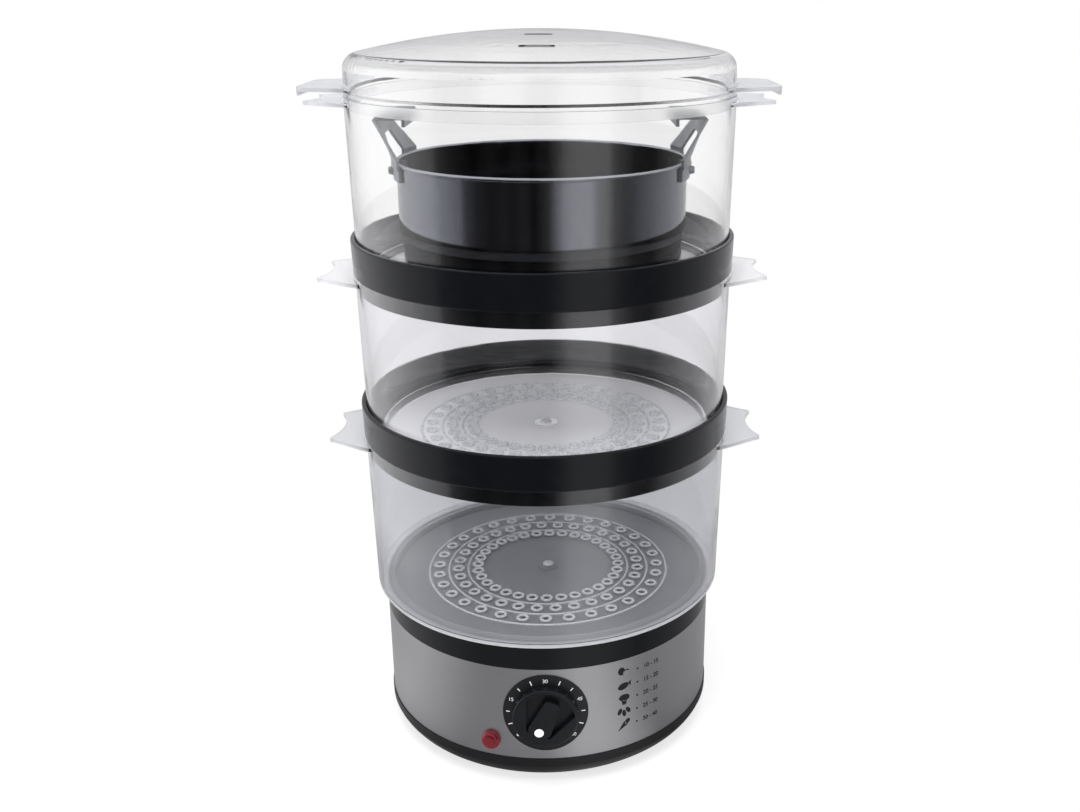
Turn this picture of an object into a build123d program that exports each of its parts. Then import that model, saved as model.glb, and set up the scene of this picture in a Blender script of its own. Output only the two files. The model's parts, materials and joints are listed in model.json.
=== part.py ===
from build123d import *
import os
from math import asin, cos, pi, radians, sin, sqrt, tan

# A three-tier electric food steamer, in millimetres. The origin is on the base's axis, at the surface
# that the feet stand on. +Z is up and the timer knob faces -Y.
os.makedirs("parts", exist_ok=True)

# ---- driving dimensions: base ----
foot_radius = 7.0
foot_standout = 3.0
foot_recess = 1.5
foot_ring_radius = 72.0
foot_count = 4
band_radius = 95.3
band_thickness = 0.6
band_height = 56.0
cover_standout = 0.5
cover_sole_inset = 7.3
cover_curve_height = 9.0
cover_height = 14.0
cover_floor = 2.5
cover_boss_rise = 2.0
air_slot_ring_radius = 32.0
air_slot_length = 22.0
air_slot_width = 2.6
air_slot_count = 16
upstand_thickness = 1.8
upstand_height = 3.0
housing_wall = 2.2
collar_standout = 0.1
collar_wall = 2.6
collar_height = 16.0
ledge_thickness = 3.2
ledge_width = 6.8
bowl_wall = 2.0
bowl_floor = 2.5
bowl_depth = 37.5
timer_room = 2.5
bowl_corner = 8.0
guide_height = 1.5
edge_break = 0.8
post_radius = 4.5
post_spacing_x = 114.0
post_spacing_y = 66.0
screw_radius = 1.9
screw_head_radius = 3.6
screw_head_height = 2.4
screw_head_sink = 1.0
screw_slot_length = 4.4
screw_slot_width = 0.9
screw_slot_depth = 1.2
thread_depth = 10.0

# ---- driving dimensions: heater ----
heater_hole_radius = 30.0
heater_flange_radius = 36.0
heater_flange_thickness = 3.0
heater_rise = 5.0
gasket_thickness = 1.5
clamp_thickness = 1.5
clamp_radius = 45.5
clamp_opening_inset = 4.0
clamp_ring_radius = 41.0
clamp_screw_count = 3
clamp_boss_radius = 4.0
element_tube_radius = 3.3
element_radius = 23.5
element_sweep = 300.0
element_leg = 6.0
pin_radius = 1.2
pin_length = 5.0
thermostat_radius = 8.0
thermostat_height = 7.0
blade_width = 6.3
blade_thickness = 0.8
blade_length = 6.0
blade_side = 4.5
fuse_radius = 2.0
fuse_length = 12.0
fuse_offset = 14.5

# ---- driving dimensions: steam ring and drip tray ----
steam_ring_radius = 42.0
steam_ring_wall = 2.0
steam_ring_height = 28.0
steam_notch_width = 12.0
steam_notch_height = 5.0
steam_notch_count = 4
tray_floor = 2.0
tray_wall = 2.0
tray_rim_height = 6.5
chimney_radius = 24.0
chimney_height = 5.5
chimney_hole_radius = 2.5
chimney_hole_ring_radius = 15.0
chimney_hole_count = 12

# ---- driving dimensions: timer, dial and lamp ----
timer_height = 46.4
timer_width = 40.0
timer_depth = 26.0
timer_corner = 3.0
timer_blade_rise = 2.4
pad_width = 44.0
pad_depth = 6.0
bell_radius = 14.0
bell_depth = 4.0
timer_screw_offset = 14.0
timer_screw_radius = 1.45
timer_screw_head_radius = 2.8
timer_screw_head_height = 2.0
timer_screw_grip = 3.5
shaft_radius = 3.0
shaft_flat = 2.2
shaft_engagement = 8.0
shaft_collar = 1.0
shaft_passage_radius = 5.0
dial_radius = 23.0
dial_thickness = 1.2
knob_radius = 17.75
knob_height = 4.8
knob_scoop_depth = 3.4
knob_scoop_radius = 15.8
knob_scoop_half_width = 17.4
knob_grip_tail = 11.0
knob_grip_tail_width = 8.0
knob_grip_tip = 10.5
knob_grip_tip_width = 13.6
knob_grip_corner = 2.6
knob_edge = 1.4
knob_bore_depth = 3.6
knob_off_angle = 23.0
pointer_radius = 2.5
pointer_depth = 1.0
pointer_standout = 0.1
pointer_distance = 8.9
lamp_side = 30.0
lamp_height = 27.0
lens_radius = 5.3
lens_flange = 1.0
lens_dome = 2.8
lens_stem_radius = 4.1
lens_stem_length = 3.0
lamp_body_radius = 4.7
lamp_body_length = 11.5

# ---- driving dimensions: supply ----
gland_height = 28.2
gland_radius = 6.0
gland_flange_radius = 9.0
gland_flange_thickness = 2.0
cord_bore_radius = 3.7
gland_nut_radius = 7.4
gland_nut_thickness = 5.0
block_width = 30.0
block_depth = 12.0
block_height = 12.0
block_inset = 32.5
block_hole_radius = 2.0
block_hole_depth = 3.0
wire_radius = 1.1
wire_pitch = 8.0
wire_lead = 7.0
wire_bow = 9.0
wire_sag = 2.0

# ---- driving dimensions: baskets and rings ----
basket_height = 89.4
basket_overhang = 4.8
basket_flare = 1.6
basket_wall = 2.0
basket_floor_drop = 5.0
floor_rib_height = 0.8
floor_rib_width = 1.2
floor_boss_radius = 6.5
hole_radius = 2.0
hole_ring_radius = 42.0
hole_ring_pitch = 11.5
hole_ring_count = 3
hole_count = 32
handle_length = 19.0
handle_notch = 5.5
handle_tip_half_width = 21.3
handle_root_half_width = 37.0
handle_sweep = 5.0
handle_drop = 2.0
handle_thickness = 2.0
handle_corner = 1.5
ring_overhang = 0.8
ring_draft = 0.6
ring_seat = 2.0
ring_cup_height = 17.0
ring_skirt_drop = 8.4
ring_skirt_wall = 2.0

# ---- driving dimensions: rice pot ----
pot_radius = 77.0
pot_rim_standout = 0.8
pot_rim_bead = 1.1
pot_wall = 1.2
pot_height = 57.9
pot_waist_height = 21.0
pot_waist_inset = 1.8
pot_waist_slope = 4.0
pot_bottom_inset = 2.7
pot_corner = 5.0
handle_spread = 48.0
grip_half_width = 20.0
window_foot_half_width = 21.0
window_top_half_width = 9.0
window_rise = 14.5
window_corner = 3.0
leg_bend = 3.0
strap_thickness = 1.6
grip_rise = 22.0
grip_flare = 6.4
grip_flange = 15.0
grip_lip = 3.5
bracket_drop = 8.0
bracket_height = 6.8
bracket_joggle = 1.0
rivet_side = 10.0
rivet_radius = 1.5
rivet_head_radius = 2.5
rivet_head_height = 2.5
rivet_tail_height = 1.0

# ---- driving dimensions: lid ----
lid_inset = 0.3
lid_draft = 0.5
lid_wall = 2.0
lid_shoulder_height = 19.7
lid_shoulder_radius = 8.0
lid_height = 32.2
lid_lip_depth = 5.5
lid_lip_wall = 1.8
lid_lip_rise = 1.5
lid_handle_length = 21.0
lid_handle_tip_half_width = 28.0
lid_handle_root_half_width = 38.0
lid_handle_rise = 5.2
lid_handle_thickness = 2.0
lid_handle_corner = 10.0
lid_handle_turn_down = 2.1
inner_vent_length = 14.0
inner_vent_distance = 35.0
outer_vent_length = 17.0
outer_vent_distance = 67.0
vent_width = 3.0

# ---- named clearances ----
lift_off_gap = 0.3
loose_gap = 0.4
press_gap = 0.05
running_gap = 0.05
knob_gap = 0.6
screw_gap = 0.05
rim_gap = 0.1
end_gap = 0.5

# ---- levels worked out from the dimensions above ----
cover_z = foot_standout
cover_floor_z = cover_z + cover_floor
band_z = cover_z + cover_height
collar_z = band_z + band_height
collar_top = collar_z + collar_height
ledge_z = collar_z + ledge_thickness
bowl_floor_z = ledge_z - bowl_depth
bowl_under_z = bowl_floor_z - bowl_floor
cover_radius = band_radius + cover_standout
cover_sole_radius = cover_radius - cover_sole_inset
collar_radius = band_radius + collar_standout
collar_inner = collar_radius - collar_wall
bowl_radius = collar_inner - ledge_width
housing_outer = band_radius - band_thickness - press_gap
housing_inner = housing_outer - housing_wall
flange_top_z = bowl_under_z - gasket_thickness
flange_under_z = flange_top_z - heater_flange_thickness
pad_face = housing_inner - pad_depth
block_distance = housing_inner - block_inset
timer_back = pad_face - timer_depth
bowl_front = timer_back - blade_length - timer_room - bowl_wall
dial_face = band_radius + dial_thickness
knob_back = dial_face + knob_gap
knob_face = knob_back + knob_height
blade_z = timer_height - timer_width / 2 + timer_blade_rise
basket_foot_radius = collar_radius + basket_overhang
basket_rim_radius = basket_foot_radius + basket_flare
basket_step_radius = collar_inner - lift_off_gap
tier_pitch = basket_height + ring_seat
floor_top_drop = basket_floor_drop - basket_wall
pot_z = collar_top + 2 * tier_pitch - floor_top_drop + floor_rib_height
rim_z = collar_top + 2 * tier_pitch + basket_height
rim_inner = basket_rim_radius - basket_wall
wall_flare = basket_flare / basket_height
hole_rings = [hole_ring_radius + index * hole_ring_pitch for index in range(hole_ring_count)]
rib_rings = [ring + hole_ring_pitch / 2 for ring in hole_rings]

# ---- planes for what stands out of the base's side ----
lamp_angle = asin(lamp_side / band_radius)
lamp_out = Vector(-sin(lamp_angle), -cos(lamp_angle), 0)
grip_turn = radians(knob_off_angle)


def front_plane(distance, height):
    """A plane facing -Y, its local x along +X and its local y up."""
    return Plane(origin=(0, -distance, height), x_dir=(1, 0, 0), z_dir=(0, -1, 0))


def lamp_plane(distance):
    """A plane across the lamp's axis, facing out."""
    return Plane(origin=lamp_out * distance + Vector(0, 0, lamp_height), z_dir=lamp_out)


def grip_plane(distance):
    """A front plane turned so that its local -y points where the knob points when it is off."""
    turned = (cos(grip_turn), 0, -sin(grip_turn))
    return Plane(origin=(0, -distance, timer_height), x_dir=turned, z_dir=(0, -1, 0))


def finish(piece, name):
    """Names a finished piece and writes its file."""
    piece.part.label = name
    export_step(piece.part, f"parts/{name}.step")


# ---- feet: rubber pads in shallow recesses of the bottom cover ----
with BuildPart() as feet:
    with BuildSketch():
        with PolarLocations(foot_ring_radius, foot_count, start_angle=45):
            Circle(foot_radius)
    extrude(amount=foot_standout + foot_recess)
    chamfer(feet.edges().group_by(Axis.Z)[0], edge_break)
finish(feet, "feet")

# ---- bottom cover: a shallow pan that curves in to the foot ring, with vents and screw bosses ----
upstand_outer = housing_inner - lift_off_gap
notch_half = gland_radius + press_gap
with BuildPart() as bottom_cover:
    with BuildSketch(Plane.XZ):
        with BuildLine():
            Polyline(
                (cover_radius, cover_z + cover_curve_height),
                (cover_radius, band_z),
                (upstand_outer, band_z),
                (upstand_outer, band_z + upstand_height),
                (upstand_outer - upstand_thickness, band_z + upstand_height),
                (upstand_outer - upstand_thickness, cover_z + cover_curve_height),
                (cover_sole_radius - cover_floor, cover_floor_z),
                (0, cover_floor_z),
                (0, cover_z),
                (cover_sole_radius, cover_z),
            )
            RadiusArc(
                (cover_sole_radius, cover_z),
                (cover_radius, cover_z + cover_curve_height),
                -2 * cover_curve_height,
            )
        make_face()
    revolve(axis=Axis.Z)
    with BuildSketch(Plane.XY.offset(cover_floor_z)):
        with GridLocations(post_spacing_x, post_spacing_y, 2, 2):
            Circle(post_radius)
    extrude(amount=screw_head_height + cover_boss_rise)
    with BuildSketch(Plane.XY.offset(cover_z)):
        with PolarLocations(foot_ring_radius, foot_count, start_angle=45):
            Circle(foot_radius + press_gap)
    extrude(amount=foot_recess, mode=Mode.SUBTRACT)
    with BuildSketch(Plane.XY.offset(cover_z)):
        with GridLocations(post_spacing_x, post_spacing_y, 2, 2):
            Circle(screw_head_radius + loose_gap)
    extrude(amount=screw_head_sink + screw_head_height, mode=Mode.SUBTRACT)
    with BuildSketch(Plane.XY.offset(cover_z)):
        with GridLocations(post_spacing_x, post_spacing_y, 2, 2):
            Circle(screw_radius + lift_off_gap)
    extrude(amount=cover_height, mode=Mode.SUBTRACT)
    with BuildSketch(Plane.XY.offset(cover_z)):
        with PolarLocations(air_slot_ring_radius, air_slot_count):
            SlotOverall(air_slot_length, air_slot_width)
    extrude(amount=cover_floor, mode=Mode.SUBTRACT)
finish(bottom_cover, "bottom_cover")

# ---- steel band: thin brushed sheet wrapped round the housing, notched below for the cable gland ----
with BuildPart() as steel_band:
    with BuildSketch(Plane.XY.offset(band_z)):
        Circle(band_radius)
        Circle(band_radius - band_thickness, mode=Mode.SUBTRACT)
    extrude(amount=band_height)
    with BuildSketch(front_plane(pad_face, timer_height)):
        Circle(shaft_passage_radius)
    extrude(amount=band_radius - pad_face, mode=Mode.SUBTRACT)
    with BuildSketch(lamp_plane(pad_face)):
        Circle(lamp_body_radius + press_gap)
    extrude(amount=band_radius - pad_face, mode=Mode.SUBTRACT)
    with BuildSketch(Plane.XZ.offset(-pad_face)):
        with Locations((0, gland_height)):
            Rectangle(2 * notch_half, 2 * notch_half)
            Rectangle(2 * notch_half, gland_height, align=(Align.CENTER, Align.MAX))
    extrude(amount=-band_radius, mode=Mode.SUBTRACT)
finish(steel_band, "steel_band")

# ---- base housing: moulded wall behind the band, with a flat pad for the timer ----
screw_spots = [(-timer_screw_offset, timer_screw_offset), (timer_screw_offset, -timer_screw_offset)]
screw_seat = pad_face + timer_screw_grip
with BuildPart() as base_housing:
    with BuildSketch(front_plane(pad_face, timer_height)):
        Rectangle(pad_width, pad_width)
    extrude(amount=housing_outer - pad_face)
    with BuildSketch(Plane.XY.offset(band_z)):
        Circle(housing_outer - housing_wall / 2)
    extrude(amount=band_height, mode=Mode.INTERSECT)
    with BuildSketch(Plane.XY.offset(band_z)):
        Circle(housing_outer)
        Circle(housing_inner, mode=Mode.SUBTRACT)
    extrude(amount=band_height)
    with BuildSketch(front_plane(pad_face, timer_height)):
        Circle(shaft_passage_radius)
        with Locations(*screw_spots):
            Circle(timer_screw_radius + lift_off_gap)
    extrude(amount=band_radius - pad_face, mode=Mode.SUBTRACT)
    with BuildSketch(front_plane(screw_seat, timer_height)):
        with Locations(*screw_spots):
            Circle(timer_screw_head_radius + lift_off_gap)
    extrude(amount=band_radius - screw_seat, mode=Mode.SUBTRACT)
    with BuildSketch(lamp_plane(pad_face)):
        Circle(lamp_body_radius + press_gap)
    extrude(amount=band_radius - pad_face, mode=Mode.SUBTRACT)
    with BuildSketch(Plane.XZ.offset(-pad_face)):
        with Locations((0, gland_height)):
            Rectangle(2 * notch_half, 2 * notch_half)
            Rectangle(2 * notch_half, gland_height, align=(Align.CENTER, Align.MAX))
    extrude(amount=-band_radius, mode=Mode.SUBTRACT)
finish(base_housing, "base_housing")

# ---- water tank: glossy collar, ledge for the drip tray, and a bowl cut off straight at the front, which
# leaves room for the timer; screw posts and clamp bosses stand under its floor ----
bowl_outer = bowl_radius + bowl_wall
post_end = cover_floor_z + screw_head_height + cover_boss_rise
with BuildPart() as water_tank:
    with BuildSketch(Plane.XY.offset(collar_z)):
        Circle(collar_radius)
    extrude(amount=collar_height)
    fillet(water_tank.edges().group_by(Axis.Z)[-1], edge_break)
    with BuildSketch(Plane.XY.offset(bowl_under_z)):
        Circle(bowl_outer)
        with Locations((0, -(bowl_front + bowl_wall))):
            Rectangle(2 * bowl_outer, bowl_outer, align=(Align.CENTER, Align.MAX), mode=Mode.SUBTRACT)
    extrude(amount=collar_z - bowl_under_z)
    with BuildSketch(Plane.XY.offset(ledge_z)):
        Circle(collar_inner)
    extrude(amount=collar_height, mode=Mode.SUBTRACT)
    with BuildSketch(Plane.XY.offset(bowl_floor_z)):
        Circle(bowl_radius)
        with Locations((0, -bowl_front)):
            Rectangle(2 * bowl_outer, bowl_outer, align=(Align.CENTER, Align.MAX), mode=Mode.SUBTRACT)
        fillet(vertices(), bowl_corner)
    extrude(amount=bowl_depth, mode=Mode.SUBTRACT)
    with BuildSketch(Plane.XY.offset(post_end)):
        with GridLocations(post_spacing_x, post_spacing_y, 2, 2):
            Circle(post_radius)
    extrude(amount=bowl_under_z - post_end)
    with BuildSketch(Plane.XY.offset(flange_under_z)):
        with PolarLocations(clamp_ring_radius, clamp_screw_count, start_angle=30):
            Circle(clamp_boss_radius)
    extrude(amount=bowl_under_z - flange_under_z)
    with BuildSketch(Plane.XY.offset(post_end)):
        with GridLocations(post_spacing_x, post_spacing_y, 2, 2):
            Circle(screw_radius + screw_gap)
    extrude(amount=thread_depth + end_gap, mode=Mode.SUBTRACT)
    with BuildSketch(Plane.XY.offset(flange_under_z)):
        with PolarLocations(clamp_ring_radius, clamp_screw_count, start_angle=30):
            Circle(screw_radius + screw_gap)
    extrude(amount=bowl_under_z - flange_under_z, mode=Mode.SUBTRACT)
    with BuildSketch(Plane.XY.offset(bowl_under_z)):
        Circle(heater_hole_radius)
    extrude(amount=bowl_floor, mode=Mode.SUBTRACT)
    with BuildSketch(Plane.XY.offset(bowl_floor_z)):
        Circle(steam_ring_radius - steam_ring_wall - loose_gap)
        Circle(steam_ring_radius - 2 * steam_ring_wall, mode=Mode.SUBTRACT)
    extrude(amount=guide_height)
finish(water_tank, "water_tank")

# ---- base screws: up through the cover's bosses into the tank's posts ----
screw_head_z = cover_z + screw_head_sink
with BuildPart() as base_screws:
    with BuildSketch(Plane.XY.offset(screw_head_z)):
        with GridLocations(post_spacing_x, post_spacing_y, 2, 2):
            Circle(screw_head_radius)
    extrude(amount=screw_head_height)
    with BuildSketch(Plane.XY.offset(screw_head_z + screw_head_height)):
        with GridLocations(post_spacing_x, post_spacing_y, 2, 2):
            Circle(screw_radius)
    extrude(amount=post_end + thread_depth - screw_head_z - screw_head_height)
    with BuildSketch(Plane.XY.offset(screw_head_z)):
        with GridLocations(post_spacing_x, post_spacing_y, 2, 2):
            Rectangle(screw_slot_length, screw_slot_width)
            Rectangle(screw_slot_width, screw_slot_length)
    extrude(amount=screw_slot_depth, mode=Mode.SUBTRACT)
finish(base_screws, "base_screws")

# ---- heater plate: aluminium casting that fills the hole in the tank's floor ----
heater_top_z = bowl_floor_z + heater_rise
with BuildPart() as heater_plate:
    with BuildSketch(Plane.XY.offset(flange_under_z)):
        Circle(heater_flange_radius)
    extrude(amount=heater_flange_thickness)
    with BuildSketch(Plane.XY.offset(flange_top_z)):
        Circle(heater_hole_radius - loose_gap)
    extrude(amount=heater_top_z - flange_top_z)
    fillet(heater_plate.edges().group_by(Axis.Z)[-1], edge_break)
finish(heater_plate, "heater_plate")

# ---- heater gasket: silicone ring squeezed between the flange and the tank ----
with BuildPart() as heater_gasket:
    with BuildSketch(Plane.XY.offset(flange_top_z)):
        Circle(heater_flange_radius)
        Circle(heater_hole_radius, mode=Mode.SUBTRACT)
    extrude(amount=gasket_thickness)
finish(heater_gasket, "heater_gasket")

# ---- clamp plate and its screws: they pull the heater's flange up against the gasket ----
clamp_z = flange_under_z - clamp_thickness
with BuildPart() as clamp_plate:
    with BuildSketch(Plane.XY.offset(clamp_z)):
        Circle(clamp_radius)
        Circle(heater_flange_radius - clamp_opening_inset, mode=Mode.SUBTRACT)
        with PolarLocations(clamp_ring_radius, clamp_screw_count, start_angle=30):
            Circle(screw_radius + lift_off_gap, mode=Mode.SUBTRACT)
    extrude(amount=clamp_thickness)
finish(clamp_plate, "clamp_plate")

clamp_thread = bowl_under_z - clamp_z - end_gap
with BuildPart() as clamp_screws:
    with BuildSketch(Plane.XY.offset(clamp_z - screw_head_height)):
        with PolarLocations(clamp_ring_radius, clamp_screw_count, start_angle=30):
            Circle(screw_head_radius)
    extrude(amount=screw_head_height)
    with BuildSketch(Plane.XY.offset(clamp_z)):
        with PolarLocations(clamp_ring_radius, clamp_screw_count, start_angle=30):
            Circle(screw_radius)
    extrude(amount=clamp_thread)
finish(clamp_screws, "clamp_screws")

# ---- heating element: an open ring of tube under the plate, with two legs that turn down to its pins ----
element_z = flange_under_z - element_tube_radius
gap_half = (360 - element_sweep) / 2
leg_x = element_radius * sin(radians(gap_half))
leg_y = element_radius * cos(radians(gap_half))
leg_spots = [(-leg_x, leg_y), (leg_x, leg_y)]
with BuildPart() as heater_element:
    with BuildLine() as element_arc:
        CenterArc((0, 0, element_z), element_radius, 90 + gap_half, element_sweep)
    with BuildSketch(Plane(origin=element_arc.line @ 0, z_dir=element_arc.line % 0)):
        Circle(element_tube_radius)
    sweep(path=element_arc.line)
    with Locations(*[(x, y, element_z) for x, y in leg_spots]):
        Sphere(element_tube_radius)
    with BuildSketch(Plane.XY.offset(element_z - element_leg)):
        with Locations(*leg_spots):
            Circle(element_tube_radius)
    extrude(amount=element_leg)
    with BuildSketch(Plane.XY.offset(element_z - element_leg - pin_length)):
        with Locations(*leg_spots):
            Circle(pin_radius)
    extrude(amount=pin_length)
finish(heater_element, "heater_element")
pin_end_z = element_z - element_leg - pin_length

# ---- thermostat: button type, held against the middle of the heater plate ----
thermostat_z = flange_under_z - thermostat_height
blade_spots = [(-blade_side, 0), (blade_side, 0)]
with BuildPart() as thermostat:
    with BuildSketch(Plane.XY.offset(thermostat_z)):
        Circle(thermostat_radius)
    extrude(amount=thermostat_height)
    chamfer(thermostat.edges().group_by(Axis.Z)[0], edge_break)
    with BuildSketch(Plane.XY.offset(thermostat_z - blade_length)):
        with Locations(*blade_spots):
            Rectangle(blade_thickness, blade_width)
    extrude(amount=blade_length)
finish(thermostat, "thermostat")

# ---- thermal fuse: a small can lying against the plate ----
with BuildPart() as thermal_fuse:
    with BuildSketch(Plane.YZ.offset(-fuse_length / 2)):
        with Locations((-fuse_offset, flange_under_z - fuse_radius)):
            Circle(fuse_radius)
    extrude(amount=fuse_length)
    chamfer(thermal_fuse.edges().filter_by(GeomType.CIRCLE), edge_break / 2)
finish(thermal_fuse, "thermal_fuse")

# ---- steam ring: a loose collar round the heater, notched below so that water runs in ----
with BuildPart() as steam_ring:
    with BuildSketch(Plane.XY.offset(bowl_floor_z)):
        Circle(steam_ring_radius)
        Circle(steam_ring_radius - steam_ring_wall, mode=Mode.SUBTRACT)
    extrude(amount=steam_ring_height)
    with BuildSketch(Plane.XY.offset(bowl_floor_z)):
        with PolarLocations(steam_ring_radius, steam_notch_count):
            Rectangle(3 * steam_ring_wall, steam_notch_width)
    extrude(amount=steam_notch_height, mode=Mode.SUBTRACT)
    with BuildSketch(Plane.XY.offset(bowl_floor_z + steam_ring_height - tray_floor)):
        Circle(steam_ring_radius)
        Circle(steam_ring_radius - 3 * steam_ring_wall, mode=Mode.SUBTRACT)
    extrude(amount=tray_floor)
finish(steam_ring, "steam_ring")

# ---- drip tray: a dish on the tank's ledge, with a capped chimney that lets the steam up ----
tray_radius = collar_inner - loose_gap
chimney_top = ledge_z + chimney_height
with BuildPart() as drip_tray:
    with BuildSketch(Plane.XY.offset(ledge_z)):
        Circle(tray_radius)
    extrude(amount=tray_rim_height)
    with BuildSketch(Plane.XY.offset(ledge_z + tray_floor)):
        Circle(tray_radius - tray_wall)
        Circle(chimney_radius, mode=Mode.SUBTRACT)
    extrude(amount=tray_rim_height, mode=Mode.SUBTRACT)
    with BuildSketch(Plane.XY.offset(chimney_top)):
        Circle(chimney_radius)
    extrude(amount=tray_rim_height, mode=Mode.SUBTRACT)
    with BuildSketch(Plane.XY.offset(ledge_z)):
        Circle(chimney_radius - tray_wall)
    extrude(amount=chimney_height - tray_floor, mode=Mode.SUBTRACT)
    with BuildSketch(Plane.XY.offset(ledge_z)):
        with PolarLocations(chimney_hole_ring_radius, chimney_hole_count):
            Circle(chimney_hole_radius)
    extrude(amount=chimney_height, mode=Mode.SUBTRACT)
finish(drip_tray, "drip_tray")

# ---- timer: clockwork body on the housing's pad, with its bell and screws ----
with BuildPart() as timer_body:
    with BuildSketch(front_plane(timer_back, timer_height)):
        RectangleRounded(timer_width, timer_width, timer_corner)
    extrude(amount=timer_depth)
    with BuildSketch(front_plane(pad_face - shaft_engagement, timer_height)):
        Circle(shaft_radius + running_gap)
    extrude(amount=shaft_engagement, mode=Mode.SUBTRACT)
    with BuildSketch(front_plane(pad_face - timer_screw_grip, timer_height)):
        with Locations(*screw_spots):
            Circle(timer_screw_radius + screw_gap)
    extrude(amount=timer_screw_grip, mode=Mode.SUBTRACT)
    with BuildSketch(front_plane(timer_back - blade_length, blade_z)):
        with Locations((-wire_pitch, 0), (wire_pitch, 0)):
            Rectangle(blade_width, blade_thickness)
    extrude(amount=blade_length)
finish(timer_body, "timer_body")

with BuildPart() as timer_bell:
    with BuildSketch(front_plane(timer_back - bell_depth, timer_height)):
        Circle(bell_radius)
    extrude(amount=bell_depth)
    fillet(timer_bell.edges().group_by(Axis.Y)[-1], bell_depth / 2)
finish(timer_bell, "timer_bell")

with BuildPart() as timer_screws:
    with BuildSketch(front_plane(pad_face - timer_screw_grip + end_gap, timer_height)):
        with Locations(*screw_spots):
            Circle(timer_screw_radius)
    extrude(amount=screw_seat - pad_face + timer_screw_grip - end_gap)
    with BuildSketch(front_plane(screw_seat, timer_height)):
        with Locations(*screw_spots):
            Circle(timer_screw_head_radius)
    extrude(amount=timer_screw_head_height)
finish(timer_screws, "timer_screws")

# ---- timer shaft: a D shaft from the clockwork through the dial into the knob ----
shaft_start = pad_face - shaft_engagement + end_gap
shaft_end = knob_back + knob_bore_depth - end_gap
with BuildPart() as timer_shaft:
    with BuildSketch(grip_plane(shaft_start)):
        Circle(shaft_radius)
    extrude(amount=shaft_end - shaft_start)
    with BuildSketch(grip_plane(knob_back + shaft_collar)):
        with Locations((0, shaft_flat)):
            Rectangle(3 * shaft_radius, shaft_radius, align=(Align.CENTER, Align.MIN))
    extrude(amount=knob_bore_depth, mode=Mode.SUBTRACT)
finish(timer_shaft, "timer_shaft")

# ---- dial plate: a thin disc curved to the band ----
with BuildPart() as dial_plate:
    with BuildSketch(front_plane(0, timer_height)):
        Circle(dial_radius)
        Circle(shaft_passage_radius, mode=Mode.SUBTRACT)
    extrude(amount=2 * dial_face)
    with BuildSketch(Plane.XY.offset(band_z)):
        Circle(dial_face)
        Circle(band_radius, mode=Mode.SUBTRACT)
    extrude(amount=band_height, mode=Mode.INTERSECT)
finish(dial_plate, "dial_plate")

# ---- timer knob: a low disc, scooped out round a grip whose wide end points ----
with BuildPart() as timer_knob:
    with BuildSketch(grip_plane(knob_back)):
        Circle(knob_radius)
    extrude(amount=knob_height)
    fillet(timer_knob.edges().group_by(Axis.Y)[0], knob_edge)
    with BuildSketch(grip_plane(knob_face - knob_scoop_depth)):
        Circle(knob_scoop_radius)
        with BuildLine():
            Polyline(
                (-knob_grip_tip_width / 2, -knob_grip_tip),
                (-knob_scoop_half_width, knob_scoop_radius),
                (knob_scoop_half_width, knob_scoop_radius),
                (knob_grip_tip_width / 2, -knob_grip_tip),
                close=True,
            )
        make_face(mode=Mode.INTERSECT)
        with BuildSketch(grip_plane(knob_face - knob_scoop_depth), mode=Mode.SUBTRACT) as grip_outline:
            with BuildLine():
                Polyline(
                    (-knob_grip_tip_width / 2, -knob_grip_tip),
                    (-knob_grip_tail_width / 2, knob_grip_tail),
                    (knob_grip_tail_width / 2, knob_grip_tail),
                    (knob_grip_tip_width / 2, -knob_grip_tip),
                    close=True,
                )
            make_face()
            fillet(grip_outline.vertices().group_by(Axis.Z)[-1], knob_grip_corner)
    extrude(amount=knob_scoop_depth, mode=Mode.SUBTRACT)
    with BuildSketch(grip_plane(knob_back)):
        Circle(shaft_radius + press_gap)
        with Locations((0, shaft_flat + press_gap)):
            Rectangle(3 * shaft_radius, shaft_radius, align=(Align.CENTER, Align.MIN), mode=Mode.SUBTRACT)
    extrude(amount=knob_bore_depth, mode=Mode.SUBTRACT)
    with BuildSketch(grip_plane(knob_back)):
        Circle(shaft_radius + press_gap)
    extrude(amount=shaft_collar, mode=Mode.SUBTRACT)
    with BuildSketch(grip_plane(knob_face - pointer_depth)):
        with Locations((0, -pointer_distance)):
            Circle(pointer_radius + press_gap)
    extrude(amount=pointer_depth, mode=Mode.SUBTRACT)
finish(timer_knob, "timer_knob")

with BuildPart() as knob_pointer:
    with BuildSketch(grip_plane(knob_face - pointer_depth)):
        with Locations((0, -pointer_distance)):
            Circle(pointer_radius)
    extrude(amount=pointer_depth + pointer_standout)
finish(knob_pointer, "knob_pointer")

# ---- pilot lamp: a domed lens whose stem sits in the lamp's body ----
with BuildPart() as lamp_lens:
    with BuildSketch(lamp_plane(band_radius)):
        Circle(lens_radius)
    extrude(amount=lens_flange + lens_dome)
    dome = lamp_lens.faces().sort_by(Axis((0, 0, 0), lamp_out))[-1]
    fillet(dome.edges(), lens_dome - press_gap)
    with BuildSketch(lamp_plane(band_radius - lens_stem_length)):
        Circle(lens_stem_radius)
    extrude(amount=lens_stem_length)
finish(lamp_lens, "lamp_lens")

with BuildPart() as lamp_body:
    with BuildSketch(lamp_plane(band_radius - lamp_body_length)):
        Circle(lamp_body_radius)
    extrude(amount=lamp_body_length - press_gap)
    with BuildSketch(lamp_plane(band_radius - lens_stem_length - press_gap)):
        Circle(lens_stem_radius + press_gap)
    extrude(amount=lens_stem_length + press_gap, mode=Mode.SUBTRACT)
finish(lamp_body, "lamp_body")

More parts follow.
